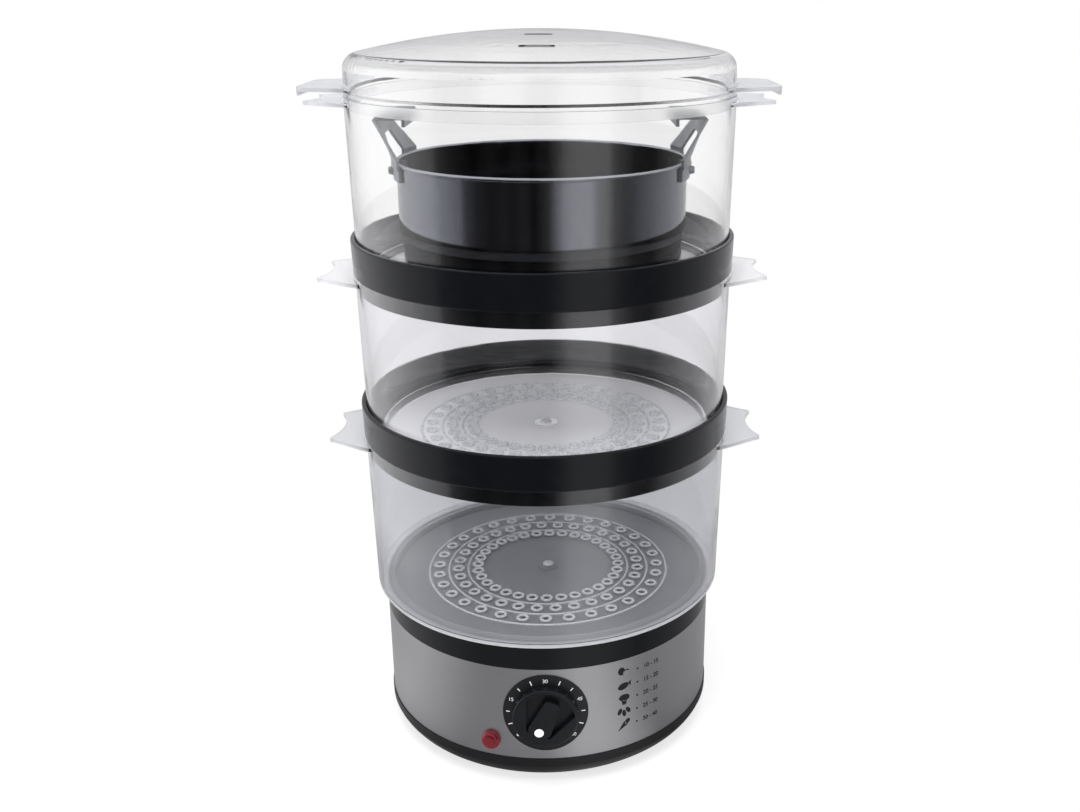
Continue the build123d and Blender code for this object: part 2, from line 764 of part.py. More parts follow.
# ---- cable gland: rubber grommet in the rear wall's notch, closed below by the cover ----
gland_inner = housing_inner - gland_flange_thickness / 2 - gland_nut_thickness
with BuildPart() as cable_gland:
    with BuildSketch(Plane.XZ.offset(-gland_inner)):
        with Locations((0, gland_height)):
            Circle(gland_nut_radius)
    extrude(amount=-gland_nut_thickness)
    with BuildSketch(Plane.XZ.offset(-gland_inner)):
        with Locations((0, gland_height)):
            Circle(gland_radius)
    extrude(amount=gland_inner - band_radius)
    with BuildSketch(Plane.XZ.offset(-housing_inner)):
        with Locations((0, gland_height)):
            Rectangle(2 * gland_radius, 2 * gland_radius)
            Rectangle(2 * gland_radius, gland_height - band_z, align=(Align.CENTER, Align.MAX))
    extrude(amount=housing_inner - band_radius)
    with BuildSketch(Plane.XZ.offset(-band_radius)):
        with Locations((0, gland_height)):
            Circle(gland_flange_radius)
    extrude(amount=-gland_flange_thickness)
    with BuildSketch(Plane.XZ.offset(-gland_inner)):
        with Locations((0, gland_height)):
            Circle(cord_bore_radius)
    extrude(amount=gland_inner - band_radius - gland_flange_thickness, mode=Mode.SUBTRACT)
finish(cable_gland, "cable_gland")

# ---- terminal block: on the cover's floor behind the heater ----
with BuildPart() as terminal_block:
    with BuildSketch(Plane.XY.offset(cover_floor_z)):
        with Locations((0, block_distance)):
            Rectangle(block_width, block_depth, align=(Align.CENTER, Align.MIN))
    extrude(amount=block_height)
    with BuildSketch(Plane.XY.offset(cover_floor_z + block_height - block_hole_depth)):
        with Locations((0, block_distance + block_depth / 2)):
            with GridLocations(wire_pitch, block_depth, 3, 1):
                Circle(block_hole_radius)
    extrude(amount=block_hole_depth, mode=Mode.SUBTRACT)
finish(terminal_block, "terminal_block")


# ---- internal wires: from the block and the timer to the heater, clear of the hot plate ----
def wire_radii(points):
    """The largest radius that each corner's two runs leave room for."""
    radii = []
    for before, corner, after in zip(points, points[1:], points[2:]):
        back, ahead = Vector(before) - Vector(corner), Vector(after) - Vector(corner)
        turn = radians(180 - back.get_angle(ahead))
        radii.append(0.45 * min(back.length, ahead.length) / tan(turn / 2))
    return radii


block_z = cover_floor_z + block_height / 2
low_z = block_z - wire_sag
blade_y = blade_length - timer_back
routes = {
    "wire_live": [
        (-wire_pitch, blade_y, blade_z),
        (-wire_pitch, blade_y + wire_lead, blade_z),
        (-wire_pitch - wire_bow / 2, blade_y + 2.3 * wire_lead, block_z + wire_sag),
        (-wire_pitch - wire_bow, blade_y + 4.9 * wire_lead, low_z + wire_sag / 4),
        (-wire_pitch - wire_bow, 0.1 * block_distance, low_z),
        (-wire_pitch - wire_bow / 2, block_distance / 2, low_z + wire_sag / 4),
        (-wire_pitch, block_distance - 1.7 * wire_lead, block_z),
        (-wire_pitch, block_distance, block_z),
    ],
    "wire_switched": [
        (wire_pitch, blade_y, blade_z),
        (wire_pitch, blade_y + wire_lead, blade_z),
        (wire_pitch + wire_bow / 4, blade_y + 2.3 * wire_lead, block_z + wire_sag),
        (wire_pitch + wire_bow / 8, blade_y + 4.9 * wire_lead, low_z + wire_sag / 4),
        (blade_side, -0.6 * wire_lead, low_z),
        (blade_side, 0, block_z + 0.8 * wire_sag),
        (blade_side, 0, thermostat_z - blade_length),
    ],
    "wire_neutral": [
        (leg_x, leg_y, pin_end_z),
        (leg_x, leg_y, pin_end_z - 0.6 * wire_lead),
        (leg_x, leg_y + 0.7 * wire_lead, low_z + wire_sag / 4),
        (leg_x - wire_bow / 10, leg_y + 2.6 * wire_lead, low_z),
        (wire_pitch, block_distance - 1.4 * wire_lead, block_z),
        (wire_pitch, block_distance, block_z),
    ],
}
for name, points in routes.items():
    with BuildPart() as wire:
        with BuildLine() as route:
            FilletPolyline(*points, radius=wire_radii(points))
        start = Vector(points[1]) - Vector(points[0])
        with BuildSketch(Plane(origin=points[0], z_dir=start)):
            Circle(wire_radius)
        sweep(path=route.line)
    finish(wire, name)


# ---- baskets: clear tubs, all alike, whose pierced floor steps down into what carries them ----
handle_tip = basket_rim_radius + handle_length
handle_root = sqrt(basket_rim_radius**2 - handle_root_half_width**2)


def make_basket(name, seat_z):
    """A basket with a fish-tail plate on each side, just under its rim."""
    top_z = seat_z + basket_height
    floor_z = seat_z - basket_floor_drop
    plate_z = top_z - handle_drop - handle_thickness
    with BuildPart() as basket:
        with BuildSketch(Plane.XZ):
            with BuildLine():
                Polyline(
                    (0, floor_z),
                    (basket_step_radius, floor_z),
                    (basket_step_radius, seat_z),
                    (basket_foot_radius, seat_z),
                    (basket_rim_radius, top_z),
                    (basket_rim_radius - basket_wall, top_z),
                    (basket_foot_radius - basket_wall, seat_z + basket_wall),
                    (basket_step_radius - basket_wall, seat_z + basket_wall),
                    (basket_step_radius - basket_wall, floor_z + basket_wall),
                    (0, floor_z + basket_wall),
                    close=True,
                )
            make_face()
        revolve(axis=Axis.Z)
        with BuildSketch(Plane.XY.offset(plate_z)) as plates:
            for side in (1, -1):
                with BuildLine():
                    far_edge = Bezier(
                        (side * handle_tip, handle_tip_half_width),
                        (side * (handle_tip - handle_sweep), handle_tip_half_width),
                        (side * (handle_root + handle_sweep), handle_root_half_width),
                        (side * handle_root, handle_root_half_width),
                    )
                    near_edge = Bezier(
                        (side * handle_tip, -handle_tip_half_width),
                        (side * (handle_tip - handle_sweep), -handle_tip_half_width),
                        (side * (handle_root + handle_sweep), -handle_root_half_width),
                        (side * handle_root, -handle_root_half_width),
                    )
                    Polyline(
                        far_edge @ 1,
                        (side * (handle_root - basket_wall), handle_root_half_width),
                        (side * (handle_root - basket_wall), -handle_root_half_width),
                        near_edge @ 1,
                    )
                    ThreePointArc(far_edge @ 0, (side * (handle_tip - handle_notch), 0), near_edge @ 0)
                make_face()
            Circle(basket_rim_radius - basket_wall / 2, mode=Mode.SUBTRACT)
            tips = plates.vertices().filter_by(lambda vertex: abs(vertex.X) > basket_rim_radius)
            fillet(tips, handle_corner)
        extrude(amount=handle_thickness)
        with BuildSketch(Plane.XZ):
            for ring in rib_rings:
                with Locations((ring, floor_z + basket_wall + floor_rib_height - floor_rib_width / 2)):
                    Circle(floor_rib_width / 2)
                    Rectangle(floor_rib_width, floor_rib_width, align=(Align.CENTER, Align.MAX))
        revolve(axis=Axis.Z)
        with BuildSketch(Plane.XY.offset(floor_z + basket_wall)):
            Circle(floor_boss_radius)
        extrude(amount=floor_rib_height)
        with BuildSketch(Plane.XY.offset(floor_z)):
            for index, ring in enumerate(hole_rings):
                with PolarLocations(ring, hole_count, start_angle=180 * index / hole_count):
                    Circle(hole_radius)
        extrude(amount=basket_wall, mode=Mode.SUBTRACT)
    finish(basket, name)


for tier, name in enumerate(["basket_lower", "basket_middle", "basket_upper"]):
    make_basket(name, collar_top + tier * tier_pitch)

# ---- joining rings: a seat between two baskets, a cup round the upper, a skirt inside the lower ----
ring_radius = basket_rim_radius + ring_overhang
cup_inner = basket_foot_radius + wall_flare * ring_cup_height + loose_gap
skirt_outer = rim_inner - wall_flare * ring_skirt_drop - loose_gap
skirt_inner = skirt_outer - ring_skirt_wall
for tier, name in enumerate(["ring_lower", "ring_upper"]):
    below_z = collar_top + tier * tier_pitch + basket_height
    seat_z = below_z + ring_seat
    with BuildPart() as ring:
        with BuildSketch(Plane.XZ) as section:
            with BuildLine():
                Polyline(
                    (ring_radius, below_z),
                    (ring_radius + ring_draft, seat_z + ring_cup_height),
                    (cup_inner, seat_z + ring_cup_height),
                    (cup_inner, seat_z),
                    (basket_step_radius + loose_gap, seat_z),
                    (basket_step_radius + loose_gap, below_z),
                    (skirt_inner, below_z),
                    (skirt_inner, below_z - ring_skirt_drop),
                    (skirt_outer, below_z - ring_skirt_drop),
                    (skirt_outer, below_z),
                    close=True,
                )
            make_face()
            fillet(section.vertices().filter_by(lambda vertex: vertex.X > basket_rim_radius), edge_break)
        revolve(axis=Axis.Z)
    finish(ring, name)

# ---- rice pot: pressed steel, waisted near the bottom, with a rolled rim and holes for the rivets ----
pot_base_radius = pot_radius - pot_waist_inset
pot_bottom_radius = pot_base_radius - pot_bottom_inset
pot_rim_radius = pot_radius + pot_rim_standout
pot_top = pot_z + pot_height
waist_under_z = pot_z + pot_waist_height - pot_waist_slope / 2
waist_over_z = pot_z + pot_waist_height + pot_waist_slope / 2
bracket_z = pot_top - bracket_drop
rivet_z = bracket_z + bracket_height / 2
rivet_turn = asin(rivet_side / pot_radius)
rivet_turns = [rivet_turn, -rivet_turn, pi + rivet_turn, pi - rivet_turn]


def rivet_plane(turn, distance):
    """A plane across a rivet's axis, facing out."""
    out = Vector(cos(turn), sin(turn), 0)
    return Plane(origin=out * distance + Vector(0, 0, rivet_z), z_dir=out)


with BuildPart() as pot_body:
    with BuildSketch(Plane.XZ):
        with BuildLine():
            Polyline(
                (0, pot_z),
                (pot_bottom_radius, pot_z),
                (pot_base_radius, pot_z + pot_corner),
                (pot_base_radius, waist_under_z),
                (pot_radius, waist_over_z),
                (pot_radius, pot_top),
                (pot_radius - pot_wall, pot_top),
                (pot_radius - pot_wall, waist_over_z),
                (pot_base_radius - pot_wall, waist_under_z),
                (pot_base_radius - pot_wall, pot_z + pot_corner),
                (pot_bottom_radius - pot_wall, pot_z + pot_wall),
                (0, pot_z + pot_wall),
                close=True,
            )
        make_face()
    revolve(axis=Axis.Z)
    with BuildSketch(Plane.XZ):
        with Locations((pot_rim_radius - pot_rim_bead, pot_top)):
            Circle(pot_rim_bead)
    revolve(axis=Axis.Z)
    for turn in rivet_turns:
        with BuildSketch(rivet_plane(turn, pot_radius - 2 * pot_wall)):
            Circle(rivet_radius + press_gap)
        extrude(amount=3 * pot_wall, mode=Mode.SUBTRACT)
finish(pot_body, "pot_body")

# ---- pot handles: straps joggled out over the rim, narrowing from the pot's curve up to a straight grip;
# a window leaves two legs, and the grip is flanged inward and turned down at its inner edge ----
leg_face = pot_rim_radius + rim_gap
leg_outer = leg_face + strap_thickness
bracket_inner = pot_radius + press_gap
bracket_outer = bracket_inner + strap_thickness
bracket_top = bracket_z + bracket_height
joggle_z = bracket_top - bracket_joggle
bend_z = pot_top + leg_bend
grip_z = pot_top + grip_rise
grip_top = grip_z + strap_thickness
grip_outer = leg_outer + grip_flare
grip_inner = grip_outer - strap_thickness - grip_flange
window_top = pot_top + window_rise
for name, side in [("pot_handle_left", -1), ("pot_handle_right", 1)]:
    first_turn = 90 - 90 * side - handle_spread / 2
    with BuildPart() as pot_handle:
        with BuildSketch(Plane.XZ.rotated((0, 0, first_turn))):
            with BuildLine():
                Polyline(
                    (bracket_inner, bracket_z),
                    (bracket_inner, joggle_z),
                    (leg_face, bracket_top),
                    (leg_face, bend_z),
                    (leg_outer, bend_z),
                    (leg_outer, bracket_top),
                    (bracket_outer, joggle_z),
                    (bracket_outer, bracket_z),
                    close=True,
                )
            make_face()
        revolve(axis=Axis.Z, revolution_arc=handle_spread)
        with BuildSketch(Plane.XY.offset(bend_z)):
            with BuildLine():
                outer_foot = CenterArc((0, 0), leg_outer, first_turn, handle_spread)
                inner_foot = CenterArc((0, 0), leg_face, first_turn, handle_spread)
                Line(outer_foot @ 0, inner_foot @ 0)
                Line(outer_foot @ 1, inner_foot @ 1)
            make_face()
        with BuildSketch(Plane.XY.offset(grip_z)):
            with Locations((side * (grip_outer - strap_thickness / 2), 0)):
                Rectangle(strap_thickness, 2 * grip_half_width)
        loft()
        with BuildSketch(Plane.XZ):
            with BuildLine():
                Polyline(
                    (side * grip_outer, grip_z),
                    (side * (grip_outer - strap_thickness), grip_top),
                    (side * grip_inner, grip_top),
                    (side * grip_inner, grip_z - grip_lip),
                    (side * (grip_inner + strap_thickness), grip_z - grip_lip),
                    (side * (grip_inner + strap_thickness), grip_z),
                    close=True,
                )
            make_face()
        extrude(amount=grip_half_width, both=True)
        with BuildSketch(Plane.YZ) as window:
            with BuildLine():
                Polyline(
                    (-window_foot_half_width, bracket_top),
                    (-window_top_half_width, window_top),
                    (window_top_half_width, window_top),
                    (window_foot_half_width, bracket_top),
                    close=True,
                )
            make_face()
            fillet(window.vertices(), window_corner)
        extrude(amount=grip_outer, both=True, mode=Mode.SUBTRACT)
        for turn in rivet_turns:
            with BuildSketch(rivet_plane(turn, bracket_inner - strap_thickness)):
                Circle(rivet_radius + press_gap)
            extrude(amount=3 * strap_thickness, mode=Mode.SUBTRACT)
    finish(pot_handle, name)

# ---- pot rivets: two for each handle, headed outside and flattened inside ----
tail_end = sqrt((pot_radius - pot_wall) ** 2 - rivet_head_radius**2)
with BuildPart() as pot_rivets:
    for turn in rivet_turns:
        with BuildSketch(rivet_plane(turn, tail_end)):
            Circle(rivet_radius)
        extrude(amount=bracket_outer - tail_end)
        with BuildSketch(rivet_plane(turn, bracket_outer)):
            Circle(rivet_head_radius)
        extrude(amount=rivet_head_height, taper=45 / rivet_head_height)
        with BuildSketch(rivet_plane(turn, tail_end - rivet_tail_height)):
            Circle(rivet_head_radius)
        extrude(amount=rivet_tail_height)
finish(pot_rivets, "pot_rivets")

# ---- lid: a clear dome with a locating lip, two side handles and two steam vents ----
lid_radius = basket_rim_radius - lid_inset
lid_top_radius = lid_radius - lid_draft
lid_lip_outer = rim_inner - loose_gap
lid_lip_inner = lid_lip_outer - lid_lip_wall
lid_top = rim_z + lid_height
shoulder_z = rim_z + lid_shoulder_height
dome_rise = lid_top - shoulder_z
lid_inner = lid_top_radius - lid_wall
handle_z = rim_z + lid_handle_rise - lid_handle_thickness
handle_reach = lid_radius + lid_handle_length
handle_base = sqrt(lid_top_radius**2 - lid_handle_root_half_width**2)
with BuildPart() as lid:
    with BuildSketch(Plane.XZ) as section:
        with BuildLine():
            Line((0, lid_top), (0, lid_top - lid_wall))
            ThreePointArc(
                (0, lid_top - lid_wall),
                (lid_inner / 2, lid_top - lid_wall - dome_rise / 4),
                (lid_inner, shoulder_z - lid_wall),
            )
            Polyline(
                (lid_inner, shoulder_z - lid_wall),
                (lid_inner, rim_z + 2 * lid_lip_rise),
                (lid_lip_inner, rim_z + lid_lip_rise),
                (lid_lip_inner, rim_z - lid_lip_depth),
                (lid_lip_outer, rim_z - lid_lip_depth),
                (lid_lip_outer, rim_z),
                (lid_radius, rim_z),
                (lid_top_radius, shoulder_z),
            )
            ThreePointArc(
                (lid_top_radius, shoulder_z),
                (lid_top_radius / 2, lid_top - dome_rise / 4),
                (0, lid_top),
            )
        make_face()
        outer_corner = section.vertices().sort_by_distance((lid_top_radius, shoulder_z))[0]
        fillet(outer_corner, lid_shoulder_radius)
        inner_corner = section.vertices().sort_by_distance((lid_inner, shoulder_z - lid_wall))[0]
        fillet(inner_corner, lid_shoulder_radius - lid_wall)
    revolve(axis=Axis.Z)
    for level, depth, cleared in [
        (handle_z, lid_handle_thickness, lid_inner / 2),
        (handle_z - lid_handle_turn_down, lid_handle_turn_down, handle_reach - lid_handle_thickness),
    ]:
        with BuildSketch(Plane.XY.offset(level)) as grips:
            with BuildLine():
                Polyline(
                    (handle_reach, lid_handle_tip_half_width),
                    (handle_base, lid_handle_root_half_width),
                    (-handle_base, lid_handle_root_half_width),
                    (-handle_reach, lid_handle_tip_half_width),
                    (-handle_reach, -lid_handle_tip_half_width),
                    (-handle_base, -lid_handle_root_half_width),
                    (handle_base, -lid_handle_root_half_width),
                    (handle_reach, -lid_handle_tip_half_width),
                    close=True,
                )
            make_face()
            fillet(grips.vertices().filter_by(lambda vertex: abs(vertex.X) > lid_radius), lid_handle_corner)
            Circle(lid_top_radius - lid_wall / 2, mode=Mode.SUBTRACT)
            Rectangle(2 * cleared, 4 * lid_handle_root_half_width, mode=Mode.SUBTRACT)
        extrude(amount=depth)
    with BuildSketch(Plane.XY.offset(rim_z)):
        with Locations((0, -inner_vent_distance)):
            SlotOverall(inner_vent_length, vent_width)
        with Locations((0, -outer_vent_distance)):
            SlotOverall(outer_vent_length, vent_width)
    extrude(amount=lid_height, mode=Mode.SUBTRACT)
finish(lid, "lid")
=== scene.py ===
import json
from math import cos, pi, radians, sin

import bmesh
import bpy
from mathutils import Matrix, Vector


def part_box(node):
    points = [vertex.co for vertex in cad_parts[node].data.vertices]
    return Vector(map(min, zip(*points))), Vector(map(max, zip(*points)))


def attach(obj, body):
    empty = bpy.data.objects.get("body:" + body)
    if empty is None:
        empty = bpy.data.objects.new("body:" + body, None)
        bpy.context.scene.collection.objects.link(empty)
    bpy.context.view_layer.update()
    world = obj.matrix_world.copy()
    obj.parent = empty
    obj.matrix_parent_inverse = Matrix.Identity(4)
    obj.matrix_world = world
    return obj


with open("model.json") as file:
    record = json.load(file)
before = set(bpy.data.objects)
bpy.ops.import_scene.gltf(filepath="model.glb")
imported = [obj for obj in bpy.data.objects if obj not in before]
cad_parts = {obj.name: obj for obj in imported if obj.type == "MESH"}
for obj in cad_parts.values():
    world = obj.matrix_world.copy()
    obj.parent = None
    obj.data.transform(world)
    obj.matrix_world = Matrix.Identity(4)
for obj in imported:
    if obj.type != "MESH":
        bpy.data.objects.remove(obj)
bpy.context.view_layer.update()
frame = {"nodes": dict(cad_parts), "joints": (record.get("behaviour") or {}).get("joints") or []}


# ---- bottom cover ----
# The pan that closes the base from below, moulded in black ABS and screwed up into the tank's posts.
# Its tool is spark-eroded, which gives an even satin grain of about 0.4 mm, drawn as a shallow bump.
noise_span = {"From Min": 0.3, "From Max": 0.7}  # where most of a noise texture's values lie


def linear(code):
    """A hex sRGB colour as linear red, green, blue, alpha."""
    values = [int(code[i:i + 2], 16) / 255 for i in (1, 3, 5)]
    return tuple(v / 12.92 if v <= 0.04045 else ((v + 0.055) / 1.055) ** 2.4 for v in values) + (1.0,)


def toned(code, share):
    """A hex colour made lighter or darker by a share."""
    return tuple(c * share for c in linear(code)[:3]) + (1.0,)


def add(tree, kind, links=None, **settings):
    """Adds a node: links fills its sockets by a value or from another socket, settings are its own.

    A Mix node of colours has its factor in socket 0, its colours in 6 and 7, and its result in output 2.
    """
    node = tree.nodes.new("ShaderNode" + kind)
    for name, value in settings.items():
        setattr(node, name, value)
    for socket, value in (links or {}).items():
        if isinstance(value, bpy.types.NodeSocket):
            tree.links.new(value, node.inputs[socket])
        else:
            node.inputs[socket].default_value = value
    return node


def new_finish(name):
    """An empty material and its node tree."""
    finish = bpy.data.materials.new(name)
    finish.use_nodes = True
    finish.node_tree.nodes.clear()
    return finish, finish.node_tree


def dress(finish, *names):
    """Gives CAD nodes a finish."""
    for name in names:
        slots = frame["nodes"][name].data.materials
        slots.clear()
        slots.append(finish)


def moulded(name, colour, roughness, grain_mm, depth_mm, spread):
    """An opaque moulded polymer: base colour, gloss, grain size and depth, and how far the gloss wanders.

    Flow marks about 33 mm long vary its colour and gloss.
    """
    finish, tree = new_finish(name)
    place = add(tree, "TexCoord").outputs["Object"]
    grain = add(tree, "TexNoise", {"Vector": place, "Scale": 1000 / grain_mm, "Detail": 2.0})
    flow = add(tree, "TexNoise", {"Vector": place, "Scale": 30.0, "Detail": 3.0})
    gloss = add(tree, "MapRange", {
        "Value": flow.outputs["Fac"], **noise_span,
        "To Min": roughness - spread, "To Max": roughness + spread})
    tint = add(tree, "Mix", {
        0: flow.outputs["Fac"], 6: linear(colour), 7: toned(colour, 1.12)}, data_type="RGBA")
    bump = add(tree, "Bump", {"Height": grain.outputs["Fac"], "Strength": 0.5, "Distance": depth_mm / 1000})
    shader = add(tree, "BsdfPrincipled", {
        "Base Color": tint.outputs[2], "Roughness": gloss.outputs["Result"],
        "IOR": 1.53, "Specular IOR Level": 0.25, "Normal": bump.outputs["Normal"]})
    add(tree, "OutputMaterial", {"Surface": shader.outputs["BSDF"]})
    return finish


cover_black = moulded("moulded_black_abs", "#131315", 0.42, 0.4, 0.02, 0.05)
dress(cover_black, "bottom_cover")


# ---- feet ----
# Four pads of soft black rubber, moulded and then pressed into shallow recesses of the pan.
# Their skin has a fine grain of 0.3 mm, which looks dusty and hardly shines.
foot_rubber = moulded("moulded_foot_rubber", "#1B1B1B", 0.8, 0.3, 0.03, 0.05)
dress(foot_rubber, "feet")


# ---- small steel fixings ----
# Base, clamp and timer screws, the heater's clamp plate, and the timer's bell and shaft, in mild steel.
# Zinc plating gives them a cool shine that is patchy at a scale of about 2.5 mm.
def plated(name, colour, roughness, patch_mm):
    """A metal with a plated or cast skin: its colour and gloss wander in patches."""
    finish, tree = new_finish(name)
    place = add(tree, "TexCoord").outputs["Object"]
    patch = add(tree, "TexNoise", {"Vector": place, "Scale": 1000 / patch_mm, "Detail": 3.0})
    tint = add(tree, "Mix", {
        0: patch.outputs["Fac"], 6: linear(colour), 7: toned(colour, 0.8)}, data_type="RGBA")
    gloss = add(tree, "MapRange", {
        "Value": patch.outputs["Fac"], **noise_span, "To Min": roughness - 0.06, "To Max": roughness + 0.08})
    shader = add(tree, "BsdfPrincipled", {
        "Base Color": tint.outputs[2], "Roughness": gloss.outputs["Result"], "Metallic": 1.0})
    add(tree, "OutputMaterial", {"Surface": shader.outputs["BSDF"]})
    return finish


zinc_plate = plated("zinc_plated_steel", "#B9BBBE", 0.34, 2.5)
dress(zinc_plate, "base_screws", "clamp_plate", "clamp_screws", "timer_screws", "timer_bell", "timer_shaft")


# ---- heater ----
# A cast aluminium plate fills the hole in the tank's floor, over a ring of sheathed element, a thermostat and
# a fuse. The casting is dull, with a grain of 1.6 mm, and what lies under it is drawn in the same grey.
# A red silicone gasket is squeezed between the plate's flange and the tank.
cast_aluminium = plated("cast_aluminium", "#A9ABAD", 0.5, 1.6)
dress(cast_aluminium, "heater_plate", "heater_element", "thermostat", "thermal_fuse")
heat_silicone = moulded("moulded_red_silicone", "#A8483A", 0.6, 0.5, 0.01, 0.05)
dress(heat_silicone, "heater_gasket")


# ---- wiring, timer and terminal block ----
# The timer's case and the lamp's body are brown phenolic and the terminal block is ivory nylon, all satin
# mouldings with a grain of 0.6 mm. The gland in the rear wall is smooth black rubber.
# The wires have soft silicone insulation and run from blade to blade.
phenolic_brown = moulded("moulded_phenolic", "#5A3A24", 0.5, 0.6, 0.01, 0.05)
dress(phenolic_brown, "timer_body", "lamp_body")
nylon_white = moulded("moulded_nylon", "#DAD6C8", 0.45, 0.6, 0.01, 0.05)
dress(nylon_white, "terminal_block")
gland_rubber = moulded("moulded_gland_rubber", "#1D1D1F", 0.45, 0.6, 0.01, 0.05)
dress(gland_rubber, "cable_gland")
wire_brown = moulded("brown_silicone_wire", "#6B3E22", 0.5, 0.4, 0.005, 0.04)
dress(wire_brown, "wire_live")
wire_black = moulded("black_silicone_wire", "#1C1C1E", 0.5, 0.4, 0.005, 0.04)
dress(wire_black, "wire_switched")
wire_blue = moulded("blue_silicone_wire", "#2E5E9A", 0.5, 0.4, 0.005, 0.04)
dress(wire_blue, "wire_neutral")


# ---- inner housing ----
# The drum that carries the steel band, moulded in black polypropylene with a half-matt grain.
# The band and the pan hide it, apart from what shows from beneath and round the gland.
housing_black = moulded("moulded_black_polypropylene", "#161618", 0.5, 0.5, 0.02, 0.05)
dress(housing_black, "base_housing")


# ---- steel band ----
# Stainless sheet wrapped round the base, brushed along its length by a belt of about 240 grit.
# The brushing draws highlights out into soft upright stripes.
# The scratches are some 0.06 mm apart, drawn at 0.35 mm so that they show.
band_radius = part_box("steel_band")[1].x
scratch_pitch = 0.00035
scratch_length = 0.035
scratch_depth = 0.00003

brushed_stainless, tree = new_finish("brushed_stainless_steel")
place = add(tree, "SeparateXYZ", {"Vector": add(tree, "TexCoord").outputs["Object"]})
behind = add(tree, "Math", {0: place.outputs["Y"], 1: -1.0}, operation="MULTIPLY")
turn = add(tree, "Math", {0: place.outputs["X"], 1: behind.outputs[0]}, operation="ARCTAN2")
along = add(tree, "Math", {0: turn.outputs[0], 1: band_radius / scratch_length}, operation="MULTIPLY")
across = add(tree, "Math", {0: place.outputs["Z"], 1: 1 / scratch_pitch}, operation="MULTIPLY")
grid = add(tree, "CombineXYZ", {"X": along.outputs[0], "Y": across.outputs[0]})
scratches = add(tree, "TexNoise", {
    "Vector": grid.outputs["Vector"], "Scale": 1.0, "Detail": 3.0, "Roughness": 0.7})
tint = add(tree, "Mix", {
    0: scratches.outputs["Fac"], 6: linear("#A3A3A5"), 7: linear("#BDBDBE")}, data_type="RGBA")
gloss = add(tree, "MapRange", {
    "Value": scratches.outputs["Fac"], "From Min": 0.25, "From Max": 0.75, "To Min": 0.26, "To Max": 0.4})
bump = add(tree, "Bump", {"Height": scratches.outputs["Fac"], "Strength": 0.35, "Distance": scratch_depth})
round_band = add(tree, "Tangent", direction_type="RADIAL", axis="Z")
shader = add(tree, "BsdfPrincipled", {
    "Base Color": tint.outputs[2], "Roughness": gloss.outputs["Result"], "Metallic": 1.0,
    "Anisotropic": 0.55, "Tangent": round_band.outputs["Tangent"], "Normal": bump.outputs["Normal"]})
add(tree, "OutputMaterial", {"Surface": shader.outputs["BSDF"]})
dress(brushed_stainless, "steel_band")


# ---- print on the band ----
# A column of plain food shapes, each with a dot and its steaming time in minutes.
# Satin black pad-printing ink, which lies on the steel as a film drawn 0.06 mm thick.
ink_film = 0.00006
digit_share = 0.7  # digits stand this share of the font's size
print_turn = radians(26.5)
dot_turn = radians(31.6)
time_turn = radians(34.0)
row_pitch = 0.0084
row_top = 0.0645
dot_mm = 0.6
time_mm = 2.6
time_bold_mm = 0.06
ink_black = moulded("black_pad_ink", "#141416", 0.5, 0.5, 0.002, 0.04)


def meshed(name, curve):
    """The mesh of a curve or a text."""
    holder = bpy.data.objects.new(name, curve)
    bpy.context.collection.objects.link(holder)
    bpy.context.view_layer.update()
    mesh = bpy.data.meshes.new_from_object(holder.evaluated_get(bpy.context.evaluated_depsgraph_get()))
    bpy.data.objects.remove(holder)
    return mesh


def flat_mesh(name, outlines):
    """Closed outlines in mm, x right and y up, as a filled film one ink thickness deep."""
    film = bpy.data.curves.new(name, "CURVE")
    film.dimensions, film.fill_mode, film.extrude = "2D", "BOTH", ink_film / 2
    for outline in outlines:
        line = film.splines.new("POLY")
        line.points.add(len(outline) - 1)
        for point, (x, y) in zip(line.points, outline):
            point.co = (x / 1000, y / 1000, 0, 1)
        line.use_cyclic_u = True
    return meshed(name, film)


def text_mesh(name, words, height_mm, align="LEFT", bold_mm=0.0):
    """Plain digits as a film one ink thickness deep."""
    film = bpy.data.curves.new(name, "FONT")
    film.body, film.size, film.extrude = words, height_mm / (1000 * digit_share), ink_film / 2
    film.offset = bold_mm / 1000
    film.align_x, film.align_y = align, "CENTER"
    return meshed(name, film)


def print_on_drum(name, films, radius, finish):
    """Joins flat films, each with the turn and height where it goes, into one print on an upright drum."""
    print_bm = bmesh.new()
    for mesh, turn, height in films:
        start = len(print_bm.verts)
        print_bm.from_mesh(mesh)
        print_bm.verts.ensure_lookup_table()
        for vert in print_bm.verts[start:]:
            reach = radius + ink_film / 2 + vert.co.z
            angle = turn + vert.co.x / radius
            vert.co = (reach * sin(angle), -reach * cos(angle), height + vert.co.y)
        bpy.data.meshes.remove(mesh)
    mesh = bpy.data.meshes.new(name)
    print_bm.to_mesh(mesh)
    print_bm.free()
    mesh.materials.append(finish)
    piece = bpy.data.objects.new(name, mesh)
    bpy.context.collection.objects.link(piece)
    return piece


def oval(x, y, half_x, half_y, tilt=0.0, steps=24):
    """The outline of an oval in mm, tilted in radians."""
    spots = [(half_x * cos(2 * pi * i / steps), half_y * sin(2 * pi * i / steps)) for i in range(steps)]
    return [(x + u * cos(tilt) - v * sin(tilt), y + u * sin(tilt) + v * cos(tilt)) for u, v in spots]


